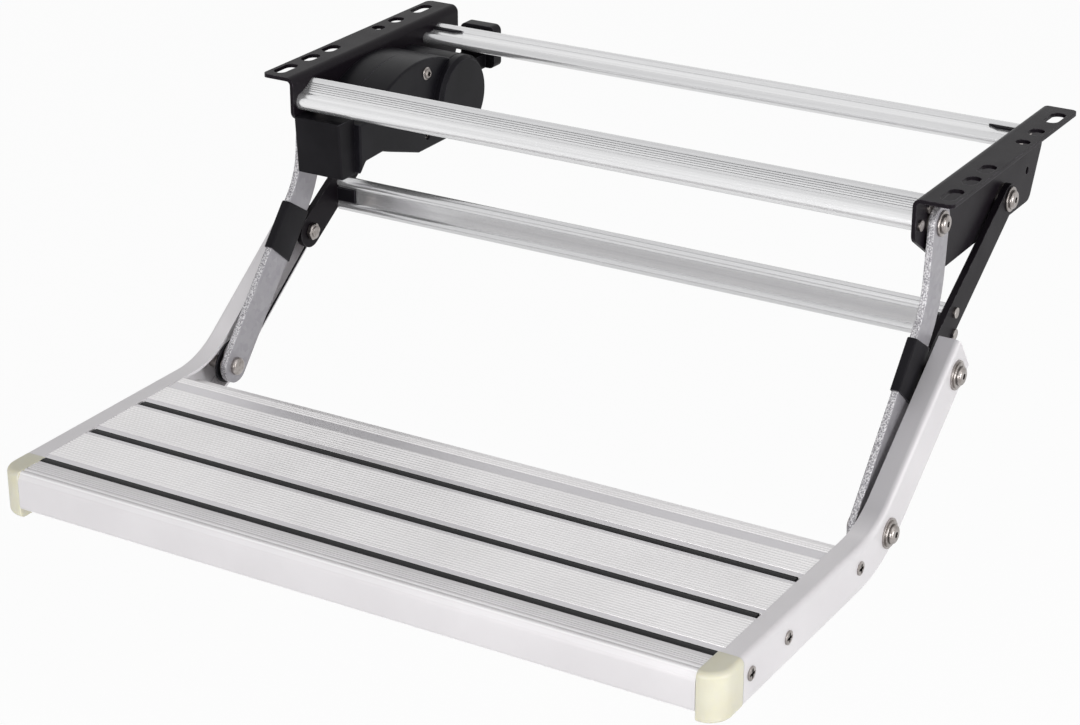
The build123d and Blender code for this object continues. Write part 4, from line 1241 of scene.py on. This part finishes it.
@dataclass
class DriveTrim:
    """The screw head in the drive's cover and the tabs at the ends of the rear crossbar, in millimetres."""

    finishes: Finishes
    cover_screw: tuple = (0.0, -19.6)
    cover_face: float = -213.5
    head_r: float = 5.3
    socket_r: float = 2.0
    bar_at: tuple = (-82.0, -14.0)
    bar_tilt: float = -10.0
    web: float = 4.0
    tab_across: tuple = (-5.4, -2.4)
    tab_t: float = 1.8
    tab_length: float = 27.0
    tab_slant: float = 7.0
    tab_ease: float = 0.4
    web_y: float = 261.0

    def screw_head(self) -> bpy.types.Object:
        """A flanged head with a six-lobed socket, on the cover's face.

        Returns:
            The new object.
        """
        radius = np.array([self.head_r, self.head_r, self.head_r - 0.4, 3.9, 3.8, 3.4, 2.7,
                           self.socket_r + 0.2, self.socket_r, self.socket_r])
        height = self.cover_face + np.array([-0.2, 0.5, 0.8, 0.9, 1.9, 2.5, 2.8, 2.8, 2.6, 1.4])
        return turned("cover_screw_head", radius, height, (6, 0.1, 7, 9), self.cover_screw, 1)

    def tab(self, name: str, side: int) -> bpy.types.Object:
        """A moulded tab on the bar's web: a strip whose inner end is cut at a slant, its edges eased.

        The plan (across, y) is drawn in to nine tenths over the top tab_ease; its place on the web is
        bar_at + across * (cos a, sin a) + up * (-sin a, cos a), with a the tilt of the bar.

        Args:
            name: Name of the piece.
            side: 1 for the right end and -1 for the left.

        Returns:
            The new object.
        """
        rear, front = self.tab_across
        end, start = self.web_y - 0.1, self.web_y - self.tab_length
        plan = np.array([[rear, start], [front, start + self.tab_slant], [front, end], [rear, end]])
        middle = plan.mean(axis=0)
        foot, head = self.web / 2 + 0.05, self.web / 2 + self.tab_t
        ups = np.array([foot, head - self.tab_ease, head])
        draw = np.array([1.0, 1.0, 0.9])[:, None, None]
        flat = middle + (plan - middle)[None] * draw
        angle = math.radians(self.bar_tilt)
        across, up = flat[..., 0], np.broadcast_to(ups[:, None], flat.shape[:2])
        x = self.bar_at[0] + across * math.cos(angle) - up * math.sin(angle)
        z = self.bar_at[1] + across * math.sin(angle) + up * math.cos(angle)
        rings = np.stack([x, side * flat[..., 1], z], axis=2)
        return lofted(name, rings[:, ::-1] if side > 0 else rings)

    def build(self) -> None:
        """Build and dress the head and the tabs."""
        self.finishes.dress(self.screw_head(), "fastener_steel", "mount_frame")
        for side, name in SIDES:
            tab = self.tab(f"{name}_rear_tab_dressed", side)
            self.finishes.dress(tab, "black_plastic", "mount_frame", f"{name}_rear_bar_tab")


# The studio


@dataclass
class Studio:
    """The camera at the photograph's angle, a pale floor, and plain soft light, in metres."""

    eye: tuple = (1.7445, 0.9361, 0.6403)
    look: tuple = (-0.786, -0.470, -0.401)
    lens: float = 90.1
    sensor: float = 36.0
    far: float = 50.0
    floor_z: float = -0.42
    floor_half: float = 14.0
    floor_grey: float = 0.86
    floor_glow: float = 0.95
    ambient: tuple = (0.34, 0.40)
    middle: tuple = (0.15, 0.0, -0.12)
    lamps: tuple = (("top_lamp", (0.6, 0.8, 1.3), 1.2, 3.0), ("front_lamp", (2.5, 0.3, 0.15), 1.0, 25.0),
                    ("side_lamp", (0.5, 2.4, 0.15), 1.0, 26.0))
    white: tuple = (1.0, 1.0, 1.0, 1.0)

    def camera(self) -> None:
        """Create the camera; no tilt about its own axis and no shift."""
        data = bpy.data.cameras.new("photo_camera")
        data.lens, data.sensor_width, data.sensor_fit = self.lens, self.sensor, "HORIZONTAL"
        data.clip_end = self.far
        camera = bpy.data.objects.new("photo_camera", data)
        camera.location = self.eye
        camera.rotation_euler = Vector(self.look).to_track_quat("-Z", "Y").to_euler()
        bpy.context.scene.collection.objects.link(camera)
        bpy.context.scene.camera = camera

    def lamp(self, name: str, place: tuple, size: float, power: float) -> None:
        """A square area lamp that faces the middle of the step.

        Args:
            name: Name of the lamp.
            place: Where it hangs.
            size: Side of its square.
            power: Watts.
        """
        data = bpy.data.lights.new(name, "AREA")
        data.shape, data.size, data.energy = "SQUARE", size, power
        lamp = bpy.data.objects.new(name, data)
        lamp.location = place
        lamp.rotation_euler = (Vector(self.middle) - Vector(place)).to_track_quat("-Z", "Y").to_euler()
        bpy.context.scene.collection.objects.link(lamp)

    def seen_directly(self, nodes: Nodes) -> Socket:
        """1 for camera, glossy and transmission rays, else 0.

        Args:
            nodes: The nodes of the world or of a material.

        Returns:
            The socket of the value.
        """
        path = nodes.add("LightPath")
        total = path.outputs["Is Camera Ray"]
        for name in ("Is Glossy Ray", "Is Transmission Ray"):
            total = nodes.calculate("ADD", total, path.outputs[name], use_clamp=True)
        return total

    def world(self) -> None:
        """Grey light all round, seen as white."""
        world = bpy.data.worlds.new("studio_world")
        world.use_nodes = True
        nodes = Nodes(world.node_tree)
        nodes.tree.nodes.clear()
        lit = nodes.add("Background", {"Color": self.white})
        seen = nodes.add("Background", {"Color": self.white, "Strength": 1.0})
        height = nodes.add("SeparateXYZ")
        nodes.join(nodes.add("TexCoord").outputs["Generated"], height.inputs[0])
        nodes.join(nodes.spread(height.outputs["Z"], *self.ambient, -1.0, 1.0), lit.inputs["Strength"])
        nodes.show(self.seen_directly(nodes), lit, seen, nodes.add("OutputWorld"))
        bpy.context.scene.world = world

    def floor(self) -> None:
        """A wide pale floor that keeps a soft shadow."""
        corners = np.array([[-1, -1], [1, -1], [1, 1], [-1, 1]]) * self.floor_half
        points = np.column_stack([corners, np.full(4, self.floor_z)])
        floor = mesh_piece("studio_floor", points, [[0, 1, 2, 3]])
        material = bpy.data.materials.new("studio_floor")
        material.use_nodes = True
        nodes = Nodes(material.node_tree)
        shader = nodes.tree.nodes["Principled BSDF"]
        shader.inputs["Base Color"].default_value = (*(self.floor_grey,) * 3, 1.0)
        shader.inputs["Roughness"].default_value = 0.9
        shader.inputs["Specular IOR Level"].default_value = 0.1
        glow = nodes.add("Emission", {"Color": self.white, "Strength": 1.0})
        amount = nodes.add("Math", {1: self.floor_glow}, operation="MULTIPLY")
        nodes.join(self.seen_directly(nodes), amount.inputs[0])
        nodes.show(amount.outputs[0], shader, glow, nodes.tree.nodes["Material Output"])
        floor.data.materials.append(material)

    def build(self) -> None:
        """Set up the whole studio."""
        bpy.context.scene.view_settings.view_transform = "Standard"
        self.camera()
        self.world()
        self.floor()
        for lamp in self.lamps:
            self.lamp(*lamp)


def main() -> None:
    """Build the studio and every part of the step, in order."""
    logging.basicConfig(level=logging.INFO, format="%(message)s")
    finishes = Finishes()
    Studio().build()
    finishes.dress_nodes()
    Tread(finishes).build()
    Sleeves(finishes).build()
    RailScrews(finishes).build()
    PivotTrim(finishes).build()
    DriveTrim(finishes).build()


if __name__ == "__main__":
    main()
